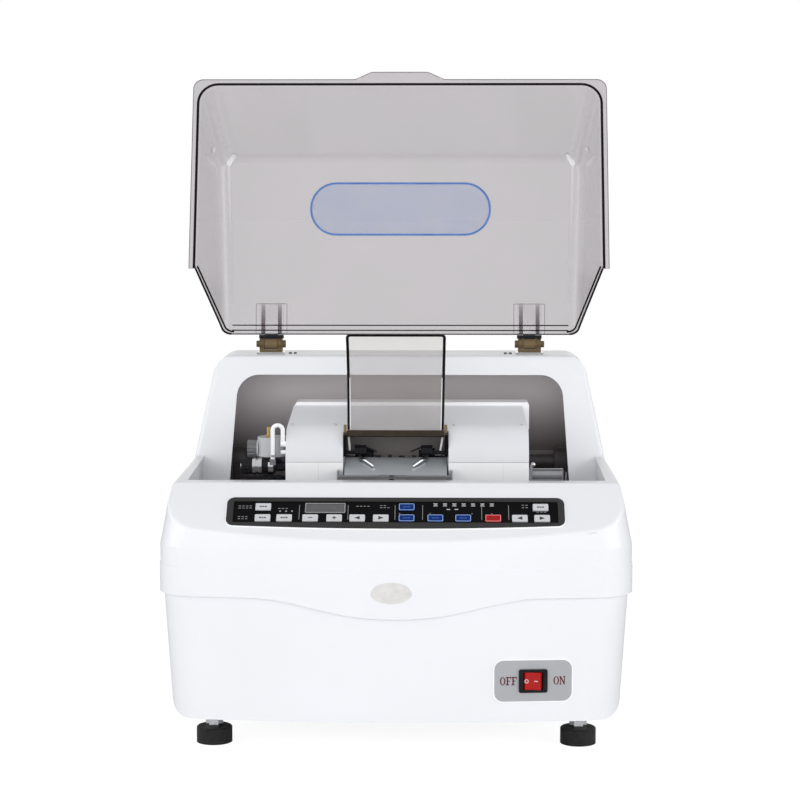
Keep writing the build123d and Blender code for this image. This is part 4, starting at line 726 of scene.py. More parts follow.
class Former:
    """Gathers the solids of one piece, and makes the piece."""

    def __init__(self) -> None:
        """Start with an empty mesh."""
        self.bm = bmesh.new()

    def loop(self, points: Iterable[Point3], place: Matrix) -> List[bmesh.types.BMVert]:
        """Add the vertices of a loop."""
        return [self.bm.verts.new(place @ Vector(point)) for point in points]

    def skin(self, first: List[bmesh.types.BMVert], second: List[bmesh.types.BMVert]) -> None:
        """Join two loops of the same length with faces.

        Args:
            first: the near loop.
            second: the far loop.
        """
        count = len(first)
        for i in range(count):
            j = (i + 1) % count
            self.bm.faces.new((first[i], first[j], second[j], second[i]))

    def close(self, loops: List[List[bmesh.types.BMVert]]) -> "Former":
        """Join loops one after another, and close both ends.

        Args:
            loops: the loops, in order.

        Returns:
            This former.
        """
        for first, second in zip(loops, loops[1:]):
            self.skin(first, second)
        self.bm.faces.new(loops[-1])
        self.bm.faces.new(loops[0][::-1])
        return self

    def block(self, x: Point2, y: Point2, z: Point2) -> "Former":
        """Add a block that stands square in the part's frame, from its ends along each axis."""
        return self.prism(box_outline(*x, *y), Matrix.Identity(4), *z)

    def prism(self, outline: Sequence[Point2], place: Matrix, low: float, high: float,
              taper: float = 1.0) -> "Former":
        """Add a straight or tapered prism.

        Args:
            outline: its corners, anticlockwise.
            place: the frame that it stands in.
            low: where it starts along the frame's Z.
            high: where it ends.
            taper: the size of its far end as a share of its near end.

        Returns:
            This former.
        """
        foot = self.loop([(x, y, low) for x, y in outline], place)
        head = self.loop([(x * taper, y * taper, high) for x, y in outline], place)
        return self.close([foot, head])

    def frame(self, outer: Sequence[Point2], inner: Sequence[Point2], place: Matrix, low: float,
              high: float) -> "Former":
        """Add a flat frame between two outlines with as many points as each other.

        Args:
            outer: the outer outline.
            inner: the inner outline.
            place: the frame that it stands in.
            low: where it starts along that frame's Z.
            high: where it ends.

        Returns:
            This former.
        """
        loops = [self.loop([(x, y, z) for x, y in outline], place)
                 for outline, z in ((outer, low), (outer, high), (inner, high), (inner, low))]
        for first, second in zip(loops, loops[1:] + loops[:1]):
            self.skin(first, second)
        return self

    def lathe(self, profile: Sequence[Point2], place: Matrix, steps: int = 32) -> "Former":
        """Add a solid turned about the frame's Z.

        Args:
            profile: (radius, height) from one end to the other, both ends above radius 0.
            place: the frame that it stands in.
            steps: how many sides it has.

        Returns:
            This former.
        """
        angles = [2 * math.pi * step / steps for step in range(steps)]
        return self.close([self.loop([(r * math.cos(a), r * math.sin(a), z) for a in angles], place)
                           for r, z in profile])

    def bar(self, path: Sequence[Vector], radius: float, flat: Vector, thin: float = 1.0,
            steps: int = 8) -> "Former":
        """Add a round bar along a path.

        Args:
            path: the points of its middle line.
            radius: its radius.
            flat: the direction that the path's bends lie across.
            thin: its thickness along flat, as a share of its width.
            steps: how many sides it has.

        Returns:
            This former.
        """
        loops = []
        for i, point in enumerate(path):
            way = (path[min(i + 1, len(path) - 1)] - path[max(i - 1, 0)]).normalized()
            side = flat.cross(way).normalized()
            rise = way.cross(side)
            angles = [2 * math.pi * step / steps for step in range(steps)]
            loops.append([self.bm.verts.new(point + (side * math.cos(a) + rise * math.sin(a) * thin) * radius)
                          for a in angles])
        return self.close(loops)

    def piece(self, name: str, look: Look, body: str, slot: str, bevel: float = 0.0,
              smooth: bool = True) -> bpy.types.Object:
        """Make the object, dress it, and let it ride on a body.

        Args:
            name: the piece's name.
            look: its finish.
            body: the body that it moves with.
            slot: not used.
            bevel: the width of its rounded edges, in metres.
            smooth: whether its turned faces are shaded smooth.

        Returns:
            The new object.
        """
        bmesh.ops.recalc_face_normals(self.bm, faces=self.bm.faces)
        mesh = bpy.data.meshes.new(name)
        self.bm.to_mesh(mesh)
        self.bm.free()
        made = bpy.data.objects.new(name, mesh)
        bpy.context.scene.collection.objects.link(made)
        mesh.materials.append(WARDROBE.material(look.value))
        if smooth:
            mesh.shade_smooth()
            mesh.set_sharp_from_angle(angle=math.radians(38))
        if bevel:
            rounding = made.modifiers.new("edges", "BEVEL")
            rounding.width, rounding.segments, rounding.limit_method = bevel, 2, "ANGLE"
            rounding.angle_limit = math.radians(40)
        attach(made, body)
        LOG.info("piece %s rides on %s", name, body)
        return made


# --------------------------------------------------------------------- printed glyphs
class Glyph(Enum):
    """The generic signs printed on keys and plates, as strokes in a unit square."""

    BAR = "bar"
    MINUS = "minus"
    PLUS = "plus"
    BACK = "back"
    FORWARD = "forward"


def box_outline(x0: float, x1: float, y0: float, y1: float) -> List[Point2]:
    """Return a rectangle's corners, anticlockwise."""
    return [(x0, y0), (x1, y0), (x1, y1), (x0, y1)]


def glyph_outlines(glyph: Glyph) -> List[List[Point2]]:
    """Return the filled outlines of a sign that is about 2 units wide.

    Args:
        glyph: the sign.

    Returns:
        One outline for each separate stroke.
    """
    if glyph is Glyph.BAR:
        dashes = ((-1.3, -0.5), (-0.3, 0.3), (0.5, 1.3))
        return [box_outline(left, right, -0.26, 0.26) for left, right in dashes]
    if glyph is Glyph.MINUS:
        return [box_outline(-0.6, 0.6, -0.13, 0.13)]
    if glyph is Glyph.PLUS:
        return [[(-0.6, -0.14), (-0.14, -0.14), (-0.14, -0.6), (0.14, -0.6), (0.14, -0.14), (0.6, -0.14),
                 (0.6, 0.14), (0.14, 0.14), (0.14, 0.6), (-0.14, 0.6), (-0.14, 0.14), (-0.6, 0.14)]]
    side = 1 if glyph is Glyph.FORWARD else -1
    return [[(-0.7 * side, -0.62 * side), (0.8 * side, 0.0), (-0.7 * side, 0.62 * side)]]


LETTER_F = [(0, 0), (0.42, 0), (0.42, 0.1), (0.3, 0.14), (0.3, 0.44), (0.5, 0.44), (0.5, 0.56),
            (0.3, 0.56), (0.3, 0.88), (0.56, 0.88), (0.62, 0.72), (0.7, 0.72), (0.7, 1), (0, 1),
            (0, 0.9), (0.12, 0.86), (0.12, 0.14), (0, 0.1)]
LETTER_N = [(0, 0), (0.28, 0), (0.28, 0.1), (0.2, 0.13), (0.2, 0.72), (0.6, 0), (0.72, 0), (0.72, 0.87),
            (0.8, 0.9), (0.8, 1), (0.52, 1), (0.52, 0.9), (0.6, 0.87), (0.6, 0.34), (0.22, 1), (0, 1),
            (0, 0.9), (0.09, 0.86), (0.09, 0.13), (0, 0.1)]


# ------------------------------------------------------------------ finishes of the part
EVERYWHERE = 10.0


def slab(letter: str, low: float, high: float) -> Box:
    """Return a box that is bounded along one axis only.

    Args:
        letter: the axis, X, Y or Z.
        low: where it starts along that axis.
        high: where it ends.

    Returns:
        The box's least and greatest corners.
    """
    least, most = [-EVERYWHERE] * 3, [EVERYWHERE] * 3
    index = "XYZ".index(letter)
    least[index], most[index] = low, high
    return (least[0], least[1], least[2]), (most[0], most[1], most[2])


def banded(name: str, main: Look, *layers: Tuple[Look, Sequence[Box]]) -> BandedFinish:
    """Return a finish that is main, but each other look inside its boxes."""
    shared = {item.name: getattr(main.value, item.name) for item in fields(Finish) if item.name != "name"}
    return BandedFinish(name, **shared, layers=tuple((look.value, boxes) for look, boxes in layers))


@dataclass
class CarriedParts:
    """Dresses the nodes of the CAD part."""

    looks: Dict[str, Look] = field(default_factory=lambda: {
        "upper_cover": Look.CASE, "lower_case": Look.CASE, "base_plate": Look.SHEET,
        "rear_panel": Look.PLATE, "power_inlet": Look.BLACK, "water_fittings": Look.GREY,
        "foot_pads": Look.RUBBER, "levelling_studs": Look.CHROME, "wet_tub": Look.BAY,
        "hood_liner": Look.LINER, "drive_motor": Look.MOTOR, "motor_rotor": Look.TURNED,
        "drive_belt": Look.BELT, "power_supply": Look.MOTOR, "spindle_housing": Look.CAST,
        "spindle": Look.TURNED, "grinding_wheels": Look.GRIT, "guide_shaft": Look.SHAFT,
        "panel_bezel": Look.BEZEL, "panel_face": Look.PANEL, "display_window": Look.WINDOW,
        "control_board": Look.BOARD, "switch_plate": Look.PLATE, "rocker_bezel": Look.BLACK,
        "power_rocker": Look.ROCKER, "lid_shell": Look.LID, "hinge_leaves": Look.LEAF,
        "carriage_sleeve": Look.BRONZE, "head_frame": Look.BACKING, "head_cover": Look.COVER,
        "arm_covers": Look.ARM, "splash_apron": Look.SHEET, "splash_flap": Look.FLAP,
        "flap_bar": Look.BAR, "clamp_quill": Look.TURNED, "water_hose": Look.HOSE})

    def dress(self) -> None:
        """Give every node its finish."""
        for node, look in self.looks.items():
            WARDROBE.dress(node, look.value)
        for node in NODES:
            if node.startswith("key_"):
                WARDROBE.dress(node, self.key_look(node).value)
        self.dress_mixed()
        LOG.info("dressed %d nodes", len(NODES))

    def key_look(self, node: str) -> Look:
        """Return a key's finish, from its name.

        Args:
            node: the key's name.

        Returns:
            Its look.
        """
        if "blue" in node:
            return Look.KEY_BLUE
        return Look.KEY_RED if node == "key_red" else Look.KEY_WHITE

    def dress_mixed(self) -> None:
        """Dress the nodes that are made of more than one material."""
        low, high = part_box("water_nozzles")
        tube_top = low.z + (high.z - low.z) * 0.36
        self.mix("water_nozzles", Look.BLACK, (Look.CHROME, [slab("Z", low.z - 1, tube_top)]))
        low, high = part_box("valve_body")
        self.mix("valve_body", Look.GREY, (Look.DARK_GREY, [slab("X", low.x - 1, low.x + 0.0112)]),
                 (Look.BRASS, [slab("Z", high.z - 0.0119, high.z + 1)]))
        low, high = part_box("pressure_cylinder")
        self.mix("pressure_cylinder", Look.CYLINDER, (Look.CHROME, [
            slab("X", high.x - 0.006, high.x + 1), slab("Z", high.z - 0.0075, high.z + 1)]))
        low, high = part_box("size_gauge")
        self.mix("size_gauge", Look.BLACK, (Look.CHROME, [slab("Y", low.y - 1, low.y + 0.0019)]))
        low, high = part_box("size_dial")
        self.mix("size_dial", Look.BLACK, (Look.CHROME, [slab("X", low.x - 1, low.x + 0.0013)]),
                 (Look.TURNED, [slab("X", low.x + 0.0142, low.x + 0.0252)]))
        low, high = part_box("lens_bay")
        bracket, foot, top = 0.0046, 0.3255, 0.3345
        self.mix("lens_bay", Look.BAY, (Look.BAR, [
            ((low.x - 1, -1, foot), (low.x + bracket, -0.0006, top)),
            ((high.x - bracket, -1, foot), (high.x + 1, -0.0006, top))]))
        low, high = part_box("lid_hinges")
        self.mix("lid_hinges", Look.BRONZE, (Look.CHROME, [slab("Z", low.z - 1, low.z + 0.0027)]))
        for node in ("left_chuck", "right_chuck"):
            low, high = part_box(node)
            shaft = (-1.0, low.x + 0.064) if node == "left_chuck" else (high.x - 0.103, 1.0)
            self.mix(node, Look.BLACK, (Look.TURNED, [slab("X", *shaft)]))

    def mix(self, node: str, main: Look, *layers: Tuple[Look, Sequence[Box]]) -> None:
        """Dress a node in a main look with other looks inside boxes."""
        WARDROBE.dress(node, banded(f"{node}_mixed", main, *layers))


# ----------------------------------------------------------------------------- casing
@dataclass
class KeyPanel:
    """Printed signs, key borders and dividers of the sloped key panel, the raised edges round its window and
    inside its bezel, and a painted highlight round the bezel.

    Each row of dashes has its left end, its lower edge and how many dashes it has. Each dot has its middle
    along the panel, and each bar in a column of the title has its lower edge and its width.
    """

    ink: float = 0.00012
    border: float = 0.0006
    divider: Point2 = (0.0006, 0.021)
    dividers: Tuple[float, ...] = (-0.1055, -0.0520, -0.0004, 0.0298, 0.0945, 0.1240)
    dash: Point2 = (0.0026, 0.0008)
    dash_pitch: float = 0.0040
    rows: Tuple[Tuple[float, float, int], ...] = (
        (-0.1725, 0.0085, 4), (-0.1725, 0.0055, 4), (-0.1725, -0.0070, 3), (-0.1725, -0.0100, 3),
        (-0.1290, 0.0050, 3), (-0.0430, 0.0085, 4), (-0.0170, 0.0095, 2), (-0.0170, 0.0065, 3),
        (0.1385, 0.0105, 2), (0.1385, 0.0070, 2), (0.1545, 0.0005, 3))
    large_dots: Tuple[float, ...] = (-0.1265, -0.1200, -0.1135)
    small_dots: Tuple[float, ...] = (0.0045, 0.0380, 0.0840, 0.1055)
    title_left: float = 0.0440
    title_pitch: float = 0.0103
    title_columns: int = 7
    title: Tuple[Point2, ...] = ((0.0092, 0.0046), (0.0108, 0.0034), (0.0124, 0.0046))
    subtitle: Point2 = (0.0040, 0.0011)
    subtitle_lefts: Point2 = (0.0560, 0.0648)
    tick: Point2 = (0.0014, 0.0007)
    bezel_half: float = 0.18535
    bezel_top: float = 0.0209
    bezel_end: float = -0.0193
    bezel_middle: float = -0.0239
    bezel_corner: float = 0.009
    signs: Dict[str, Glyph] = field(default_factory=lambda: {
        "key_minus": Glyph.MINUS, "key_plus": Glyph.PLUS, "key_back": Glyph.BACK,
        "key_forward": Glyph.FORWARD, "key_nudge_left": Glyph.BACK, "key_nudge_right": Glyph.FORWARD})

    def build(self) -> None:
        """Make the borders, signs, dividers and marks."""
        panel = self.panel_face()
        for node in sorted(NODES):
            if node.startswith("key_"):
                self.key_print(node)
        self.dividers_piece(panel)
        self.marks_piece(panel)
        self.window_piece()
        self.bezel_piece()

    def out(self) -> Vector:
        """Return the direction out of the panel: against the way that its keys press."""
        return -Vector(JOINTS["key_plus_press"]["axis"]).normalized()

    def panel_face(self) -> Face:
        """Return the panel's flat face."""
        return Face.of("panel_face", self.out())

    def key_print(self, node: str) -> None:
        """Make one key's border and its sign, which ride on the key.

        Args:
            node: the key's name.
        """
        face = Face.of(node, self.out())
        blue, red = "blue" in node, node == "key_red"
        edge = Look.EDGE_BLUE if blue else Look.EDGE_PINK if red else Look.EDGE_SILVER
        place = face.matrix()
        width, height = face.width - 0.0002, face.height - 0.0002
        slot = "key_blue" if blue else "key_red" if red else "key_white"
        Former().frame(rounded(width, height, 0.0011),
                       rounded(width - 2 * self.border, height - 2 * self.border, 0.0005), place, 0.0,
                       self.ink).piece(f"{node}_border", edge, node, slot)
        glyph = self.signs.get(node, Glyph.BAR)
        unit = height * (0.42 if glyph is not Glyph.BAR else 0.32)
        sign = Former()
        for outline in glyph_outlines(glyph):
            sign.prism([(x * unit, y * unit) for x, y in outline], place, 0.0, self.ink)
        ink = Look.INK_BLUE if blue else Look.INK_RED if red else Look.INK_BLACK
        sign.piece(f"{node}_sign", ink, node, slot, smooth=False)

    def strip(self, former: Former, face: Face, lefts: Iterable[float], low: float, size: Point2) -> None:
        """Print a row of bars.

        Args:
            former: what gathers them.
            face: the face that they are printed on.
            lefts: the left end of each.
            low: their lower edge.
            size: the width and height of each.
        """
        for left in lefts:
            outline = box_outline(left, left + size[0], low, low + size[1])
            former.prism(outline, face.matrix(), 0.0, self.ink)

    def dividers_piece(self, panel: Face) -> None:
        """Make the thin upright lines between the groups of keys.

        Args:
            panel: the panel's flat face.
        """
        lines = Former()
        width, height = self.divider
        self.strip(lines, panel, [x - width / 2 for x in self.dividers], -height / 2, self.divider)
        lines.piece("panel_dividers", Look.INK_DIM, "casing", "panel_black", smooth=False)

    def marks_piece(self, panel: Face) -> None:
        """Make the rows of short dashes and dots that stand for the printed legends, and the title's bars.

        Args:
            panel: the panel's flat face.
        """
        marks = Former()
        for x, y, count in self.rows:
            self.strip(marks, panel, [x + i * self.dash_pitch for i in range(count)], y, self.dash)
        for middles, width, sides, y in ((self.large_dots, 0.0022, 12, 0.0015),
                                         (self.small_dots, 0.0012, 10, -0.0015)):
            for x in middles:
                marks.prism(moved(oval(width, width, sides), x, y), panel.matrix(), 0.0, self.ink)
        marks.piece("panel_marks", Look.INK_DIM, "casing", "panel_black", smooth=False)
        title = Former()
        for i in range(self.title_columns):
            for y, wide in self.title:
                left = self.title_left + i * self.title_pitch - wide / 2
                self.strip(title, panel, [left], y, (wide, self.dash[1]))
        self.strip(title, panel, self.subtitle_lefts, 0.0040, self.subtitle)
        title.piece("panel_title_bars", Look.INK_WHITE, "casing", "panel_black", smooth=False)

    def window_piece(self) -> None:
        """Make the raised rim round the display window, and the ticks under its middle."""
        face = Face.of("display_window", self.out())
        rim, low, high = 0.0012, 0.0002, 0.0006
        Former().frame(rounded(face.width + rim, face.height + rim, rim),
                       rounded(face.width - rim, face.height - rim, rim / 2), face.matrix(), low,
                       high).piece("display_rim", Look.INK_DIM, "casing", "window_dark")
        ticks = Former()
        lefts = [-0.012 + i * 0.006 - self.tick[0] / 2 for i in range(5)]
        self.strip(ticks, face, lefts, -0.0096, self.tick)
        ticks.piece("display_ticks", Look.INK_DIM, "casing", "panel_black", smooth=False)

    def bezel_piece(self) -> None:
        """Make the raised edge inside the bezel, and a thin white bar round the bezel: a painted highlight
        along its outer edge.
        """
        panel = self.panel_face()
        Former().frame(rounded(panel.width, panel.height, 0.0022),
                       rounded(panel.width - 0.0010, panel.height - 0.0010, 0.0017), panel.matrix(), 0.0,
                       0.0011).piece("panel_inner_edge", Look.BEZEL, "casing", "panel_grey")
        half, end, middle, count = self.bezel_half, self.bezel_end, self.bezel_middle, 24
        bow = [(-half + 2 * half * i / count, middle + (end - middle) * (2 * i / count - 1) ** 2)
               for i in range(count + 1)]
        corners = [(0.0, self.bezel_top), (-half, self.bezel_top), *bow, (half, self.bezel_top),
                   (0.0, self.bezel_top)]
        radii = [self.bezel_corner] * 2 + [0.0] * (count - 1) + [self.bezel_corner] * 2
        place, out = panel.matrix(), -0.0004
        path = [place @ Vector((x, y, out)) for x, y in soft_corners(corners, radii)]
        # painted highlight: a thin white bar along the bezel's outer edge
        Former().bar(path, 0.0009, panel.normal).piece("panel_outer_highlight", Look.HOSE, "casing", "case_white")


@dataclass
class MainsSwitch:
    """Lettering of the switch plate and the two signs on the rocker."""

    letter: float = 0.0094
    squeeze: float = 0.88
    stroke: float = 0.0014
    ring_x: float = -0.0026
    ink: float = 0.00012
    word_gap: float = 0.0004
    words: Tuple[Tuple[str, float], ...] = (("OFF", -0.0272), ("ON", 0.0290))
    bead_out: float = 0.0024
    bead_in: float = 0.0002
    bead_corners: Point2 = (0.0112, 0.0099)
    bead_reach: Point2 = (-0.0012, 0.0001)
    ring_sizes: Point2 = (0.0046, 0.0030)
    dash_half: Point2 = (0.0019, 0.0005)

    def build(self) -> None:
        """Make the plate's bead, its words and the rocker's signs."""
        plate = Face.of("switch_plate", (0.08, -1.0, 0.0))
        outer = rounded(plate.width + self.bead_out, plate.height + self.bead_out, self.bead_corners[0])
        inner = rounded(plate.width - self.bead_in, plate.height - self.bead_in, self.bead_corners[1])
        bead = Former().frame(outer, inner, plate.matrix(), *self.bead_reach)
        bead.piece("switch_plate_bead", Look.HOSE, "casing", "switch_grey")
        for text, x in self.words:
            self.word(text, plate, x)
        self.rocker_signs(plate)

    def word(self, text: str, plate: Face, x: float) -> None:
        """Make one word, centred on x.

        Args:
            text: its letters, out of O, F and N.
            plate: the face that it stands on.
            x: its middle, in metres right of the plate's middle.
        """
        widths = {"O": 0.74 * self.squeeze, "F": 0.70 * self.squeeze, "N": 0.80 * self.squeeze}
        total = sum(widths[c] * self.letter for c in text) + self.word_gap * (len(text) - 1)
        left = x - total / 2
        former = Former()
        for character in text:
            width = widths[character] * self.letter
            if character == "O":
                place = plate.matrix(left + width / 2, 0.0)
                former.frame(oval(width, self.letter, 24),
                             oval(width - 2.1 * self.stroke, self.letter - 1.1 * self.stroke, 24),
                             place, 0.0, self.ink)
            else:
                outline = LETTER_F if character == "F" else LETTER_N
                place = plate.matrix(left, -self.letter / 2)
                former.prism([(px * self.letter * self.squeeze, py * self.letter) for px, py in outline],
                             place, 0.0, self.ink)
            left += width + self.word_gap
        former.piece(f"switch_word_{text.lower()}", Look.INK_RED, "casing", "switch_grey", smooth=False)

    def rocker_signs(self, plate: Face) -> None:
        """Make the ring and the dash on the rocker's two halves.

        Args:
            plate: the switch plate's face.
        """
        pressed, raised, alike = 0.04, 0.33, 0.97
        left = Face.of("power_rocker", plate.normal + plate.right * pressed, alike)
        right = Face.of("power_rocker", plate.normal - plate.right * raised, alike)
        outer, inner = (oval(size, size, 24) for size in self.ring_sizes)
        ring = Former().frame(outer, inner, left.matrix(self.ring_x), 0.0, self.ink)
        x, y = self.dash_half
        dash = Former().prism(box_outline(-x, x, -y, y), right.matrix(), 0.0, self.ink)
        for former, sign in ((ring, "ring"), (dash, "dash")):
            former.piece(f"rocker_{sign}", Look.INK_WHITE, "rocker", "rocker_red", smooth=False)


@dataclass
class Screw:
    """A pan-head cross screw."""

    radius: float = 0.0024
    height: float = 0.0011

    def add(self, former: Former, place: Matrix) -> None:
        """Add the screw's head, with its cross recess, to a former.

        Args:
            former: what gathers it.
            place: the frame that it stands in.
        """
        r, h = self.radius, self.height
        former.lathe([(r, 0.0), (r, h * 0.45), (r * 0.86, h * 0.8), (r * 0.62, h)], place, 24)
        arm, half = r * 0.52, r * 0.12
        for turn in (0.0, 90.0):
            turned = place @ Matrix.Rotation(math.radians(turn + 20), 4, "Z")
            former.prism(box_outline(-arm, arm, -half, half), turned, h, h + 0.00004)


@dataclass
class Casing:
    """Small pieces on the case: badge, stud threads, the pads' ribs, rear screws and the liner's seam."""

    badge_x: float = -0.004
    badge_z: float = 0.1815
    badge_width: float = 0.046
    badge_height: float = 0.0245
    pad_radius: float = 0.020

    def build(self) -> None:
        """Make every small piece of the case."""
        self.badge()
        self.stud_threads()
        self.pad_ribs()
        self.rear_screws()
        self.liner_seam()

    def badge(self) -> None:
        """Make the blank oval badge at the middle of the front."""
        low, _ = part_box("upper_cover")
        place = along(Vector((self.badge_x, low.y + 0.0002, self.badge_z)), Vector((0, -1, 0)))
        plate = Former().prism(oval(self.badge_width, self.badge_height, 48), place, -0.0004, 0.0002, 0.985)
        plate.piece("front_badge", Look.BADGE, "casing", "case_white", bevel=0.0002)

    def feet(self) -> List[Vector]:
        """Return the middle of each foot on the floor, worked out from the pads.

        Returns:
            The four points.
        """
        low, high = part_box("foot_pads")
        reach = self.pad_radius
        return [Vector((x, y, 0.0)) for x in (low.x + reach, high.x - reach)
                for y in (low.y + reach, high.y - reach)]

    def stud_threads(self) -> None:
        """Make the thread of each levelling stud, as fine ridges."""
        start, pitch, turns, root, crest = 0.0262, 0.0010, 3, 0.00495, 0.00530
        for number, foot in enumerate(self.feet(), 1):
            thread = Former()
            for turn in range(turns):
                z = start + turn * pitch
                thread.lathe([(root, z), (crest, z + pitch / 2), (root, z + pitch)],
                             upright(foot.x, foot.y, 0.0), 24)
            thread.piece(f"stud_thread_{number}", Look.CHROME, "casing", "chrome")

    def pad_ribs(self) -> None:
        """Make the grip ribs round each rubber foot."""
        count, reach, low, high = 24, 0.0184, 0.0030, 0.0150
        section = [(-0.0008, -0.0009), (0.0010, -0.0006), (0.0010, 0.0006), (-0.0008, 0.0009)]
        for number, foot in enumerate(self.feet(), 1):
            ribs = Former()
            for i in range(count):
                angle = 2 * math.pi * i / count
                place = (upright(foot.x, foot.y, 0.0) @ Matrix.Rotation(angle, 4, "Z")
                         @ Matrix.Translation((reach, 0, 0)))
                ribs.prism(section, place, low, high)
            ribs.piece(f"foot_ribs_{number}", Look.RUBBER, "casing", "foot_rubber")

    def rear_screws(self) -> None:
        """Make the six screws that hold the rear panel."""
        panel = Face.of("rear_panel", (0, 1, 0))
        screws = Former()
        low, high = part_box("rear_panel")
        inset = 0.010
        for x in (low.x + inset, 0.0, high.x - inset):
            for z in (low.z + inset, high.z - inset):
                Screw().add(screws, along(Vector((x, panel.middle.y, z)), Vector((0, 1, 0))))
        screws.piece("rear_panel_screws", Look.CHROME, "casing", "chrome")

    def liner_seam(self) -> None:
        """Make the joint line between the hood's liner and the tub's upstand."""
        low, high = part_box("hood_liner")
        seam = Former()
        thick = 0.0005
        for x, out in ((low.x + 0.0031, 1), (high.x - 0.0031, -1)):
            left, right = sorted((x, x + out * thick))
            seam.block((left, right), (low.y + 0.012, high.y - 0.004), (low.z - 0.0006, low.z + 0.0004))
        seam.piece("liner_seam", Look.BAY, "casing", "liner_grey", smooth=False)


# -------------------------------------------------------------------------------- lid
@dataclass
class Lid:
    """Frosted film, edge lines, hinge leaves' outlines and hood screws of the smoked lid.

    Its edges are laid out on the closed lid, and turned to where the lid stands open.
    """

    film_width: float = 0.223
    film_height: float = 0.066
    film_rise: float = 0.047
    rim_z: float = 0.2967
    front_y: float = -0.1549
    tab_y: float = -0.1643
    back_y: float = 0.0811
    flange_half: float = 0.2487
    flange_corner: float = 0.012
    flange: float = 0.0066
    tab_half_foot: float = 0.054
    tab_half_end: float = 0.034
    wall_corner: float = 0.024
    cut_profile: Tuple[Point2, ...] = ((0.2967, 0.0796), (0.414, 0.1225), (0.4273, 0.1293))
    top_half: float = 0.2181
    ridge: float = 0.011
    line_radius: float = 0.0016
    top_slope: float = 10.1
    leaves: Point2 = (-0.159, 0.159)

    def build(self) -> None:
        """Make the lid's film, its edges and the hinges' small fasteners."""
        self.film()
        self.rim_line()
        self.flange_line()
        self.cut_lines()
        self.lip_lines()
        self.leaf_lines()
        self.base_screws()

    def film(self) -> None:
        """Make the blank frosted film on the lid's top."""
        place = Face.of("lid_shell", (0, -1, 0)).matrix(0.0, self.film_rise, 0.0002)
        thin = 0.0024
        outer = rounded(self.film_width, self.film_height, self.film_height / 2 - 0.0005, 14)
        inner = rounded(self.film_width - 2 * thin, self.film_height - 2 * thin,
                        self.film_height / 2 - thin - 0.0005, 14)
        Former().prism(inner, place, 0.0, 0.0003).piece("lid_film", Look.FROST, "lid", "smoke_plastic")
        border = Former().frame(outer, inner, place, 0.0, 0.0005)
        border.piece("lid_film_border", Look.DECAL_BLUE, "lid", "smoke_plastic")

    def bar(self, former: Former, points: Iterable[Point3], radius: float, flat: Point3,
            thin: float = 1.0) -> None:
        """Add a bar whose path is laid out on the closed lid."""
        turn = opened_lid()
        former.bar([turn @ Vector(point) for point in points], radius, turn.to_3x3() @ Vector(flat), thin)

    def rim_line(self) -> None:
        """Make the black line where the wall meets the flange."""
        half, front = self.flange_half - self.flange + 0.0002, self.front_y + self.flange - 0.0002
        corners = [(-half, self.back_y), (-half, front), (half, front), (half, self.back_y)]
        line = soft_corners(corners, [self.wall_corner] * 2)
        former, z, thin = Former(), self.rim_z + 0.0002, 0.25
        self.bar(former, [(x, y, z) for x, y in line], self.line_radius, (0, 0, 1), thin)
        former.piece("lid_rim_line", Look.CUT_EDGE, "lid", "smoke_plastic")

    def flange_line(self) -> None:
        """Make the thin grey line round the flange and its finger tab."""
        radius = 0.00042
        half, front, tab = self.flange_half - radius, self.front_y + radius, self.tab_y + radius
        foot, end, round_ = self.tab_half_foot, self.tab_half_end, self.flange_corner
        left = [(-half, self.back_y), (-half, front), (-foot, front), (-end, tab)]
        corners = left + [(-x, y) for x, y in left[::-1]]
        line = soft_corners(corners, [round_, 0.004, round_, round_, 0.004, round_])
        former = Former()
        self.bar(former, [(x, y, self.rim_z + radius) for x, y in line], radius, (0, 0, 1))
        former.piece("lid_flange_line", Look.FAINT_EDGE, "lid", "smoke_plastic")

    def cut_y(self, z: float) -> float:
        """Return where the cut back edge of the walls lies at a height of the closed lid.

        Args:
            z: the height.

        Returns:
            The edge's Y there.
        """
        for (z0, y0), (z1, y1) in zip(self.cut_profile, self.cut_profile[1:]):
            if z <= z1:
                break
        return y0 + (y1 - y0) * (z - z0) / (z1 - z0)

    def cut_lines(self) -> None:
        """Make the dark lines along the cut back edge: two on each side wall, and one on the top."""
        sides, top_line = Former(), Former()
        top, lean = self.cut_profile[-1][0], (0, 0.94, -0.34)
        for inset, radius in ((0.0006, 0.0013), (0.0042, 0.0011)):
            low_half, high_half = self.flange_half - self.flange - inset, self.top_half - inset
            foot = (-low_half, self.rim_z + 0.0006)
            line = soft_corners([foot, (-high_half, top - inset), (0.0, top - inset)], [self.ridge])
            count, (knee_x, knee_z) = 12, line[1]
            wall = [(foot[0] + (knee_x - foot[0]) * i / count, foot[1] + (knee_z - foot[1]) * i / count)
                    for i in range(count)]
            for side in (1, -1):
                path = [(side * x, self.cut_y(z) - 0.0006, z) for x, z in wall + line[1:-1]]
                self.bar(sides, path, radius, lean)
            if inset < 0.001:
                end = line[-2][0]
                y, z = self.cut_y(top) - 0.0006, top - inset
                self.bar(top_line, [(end, y, z), (-end, y, z)], 0.0007, lean)
        sides.piece("lid_cut_lines", Look.CUT_EDGE, "lid", "smoke_plastic")
        top_line.piece("lid_back_line", Look.CUT_EDGE, "lid", "smoke_plastic")

    def lip_lines(self) -> None:
        """Make the two raised lines inside the lid's back edge."""
        former = Former()
        top, edge_y = self.cut_profile[-1]
        slope, wall, half, radius = math.radians(self.top_slope), 0.0035, 0.207, 0.0007
        for reach in (0.0046, 0.0108):
            y, z = edge_y - reach * math.cos(slope), top - wall - reach * math.sin(slope)
            self.bar(former, [(-half, y, z), (half, y, z)], radius, (0, 0, 1))
        former.piece("lid_lip_lines", Look.CUT_EDGE, "lid", "smoke_plastic")

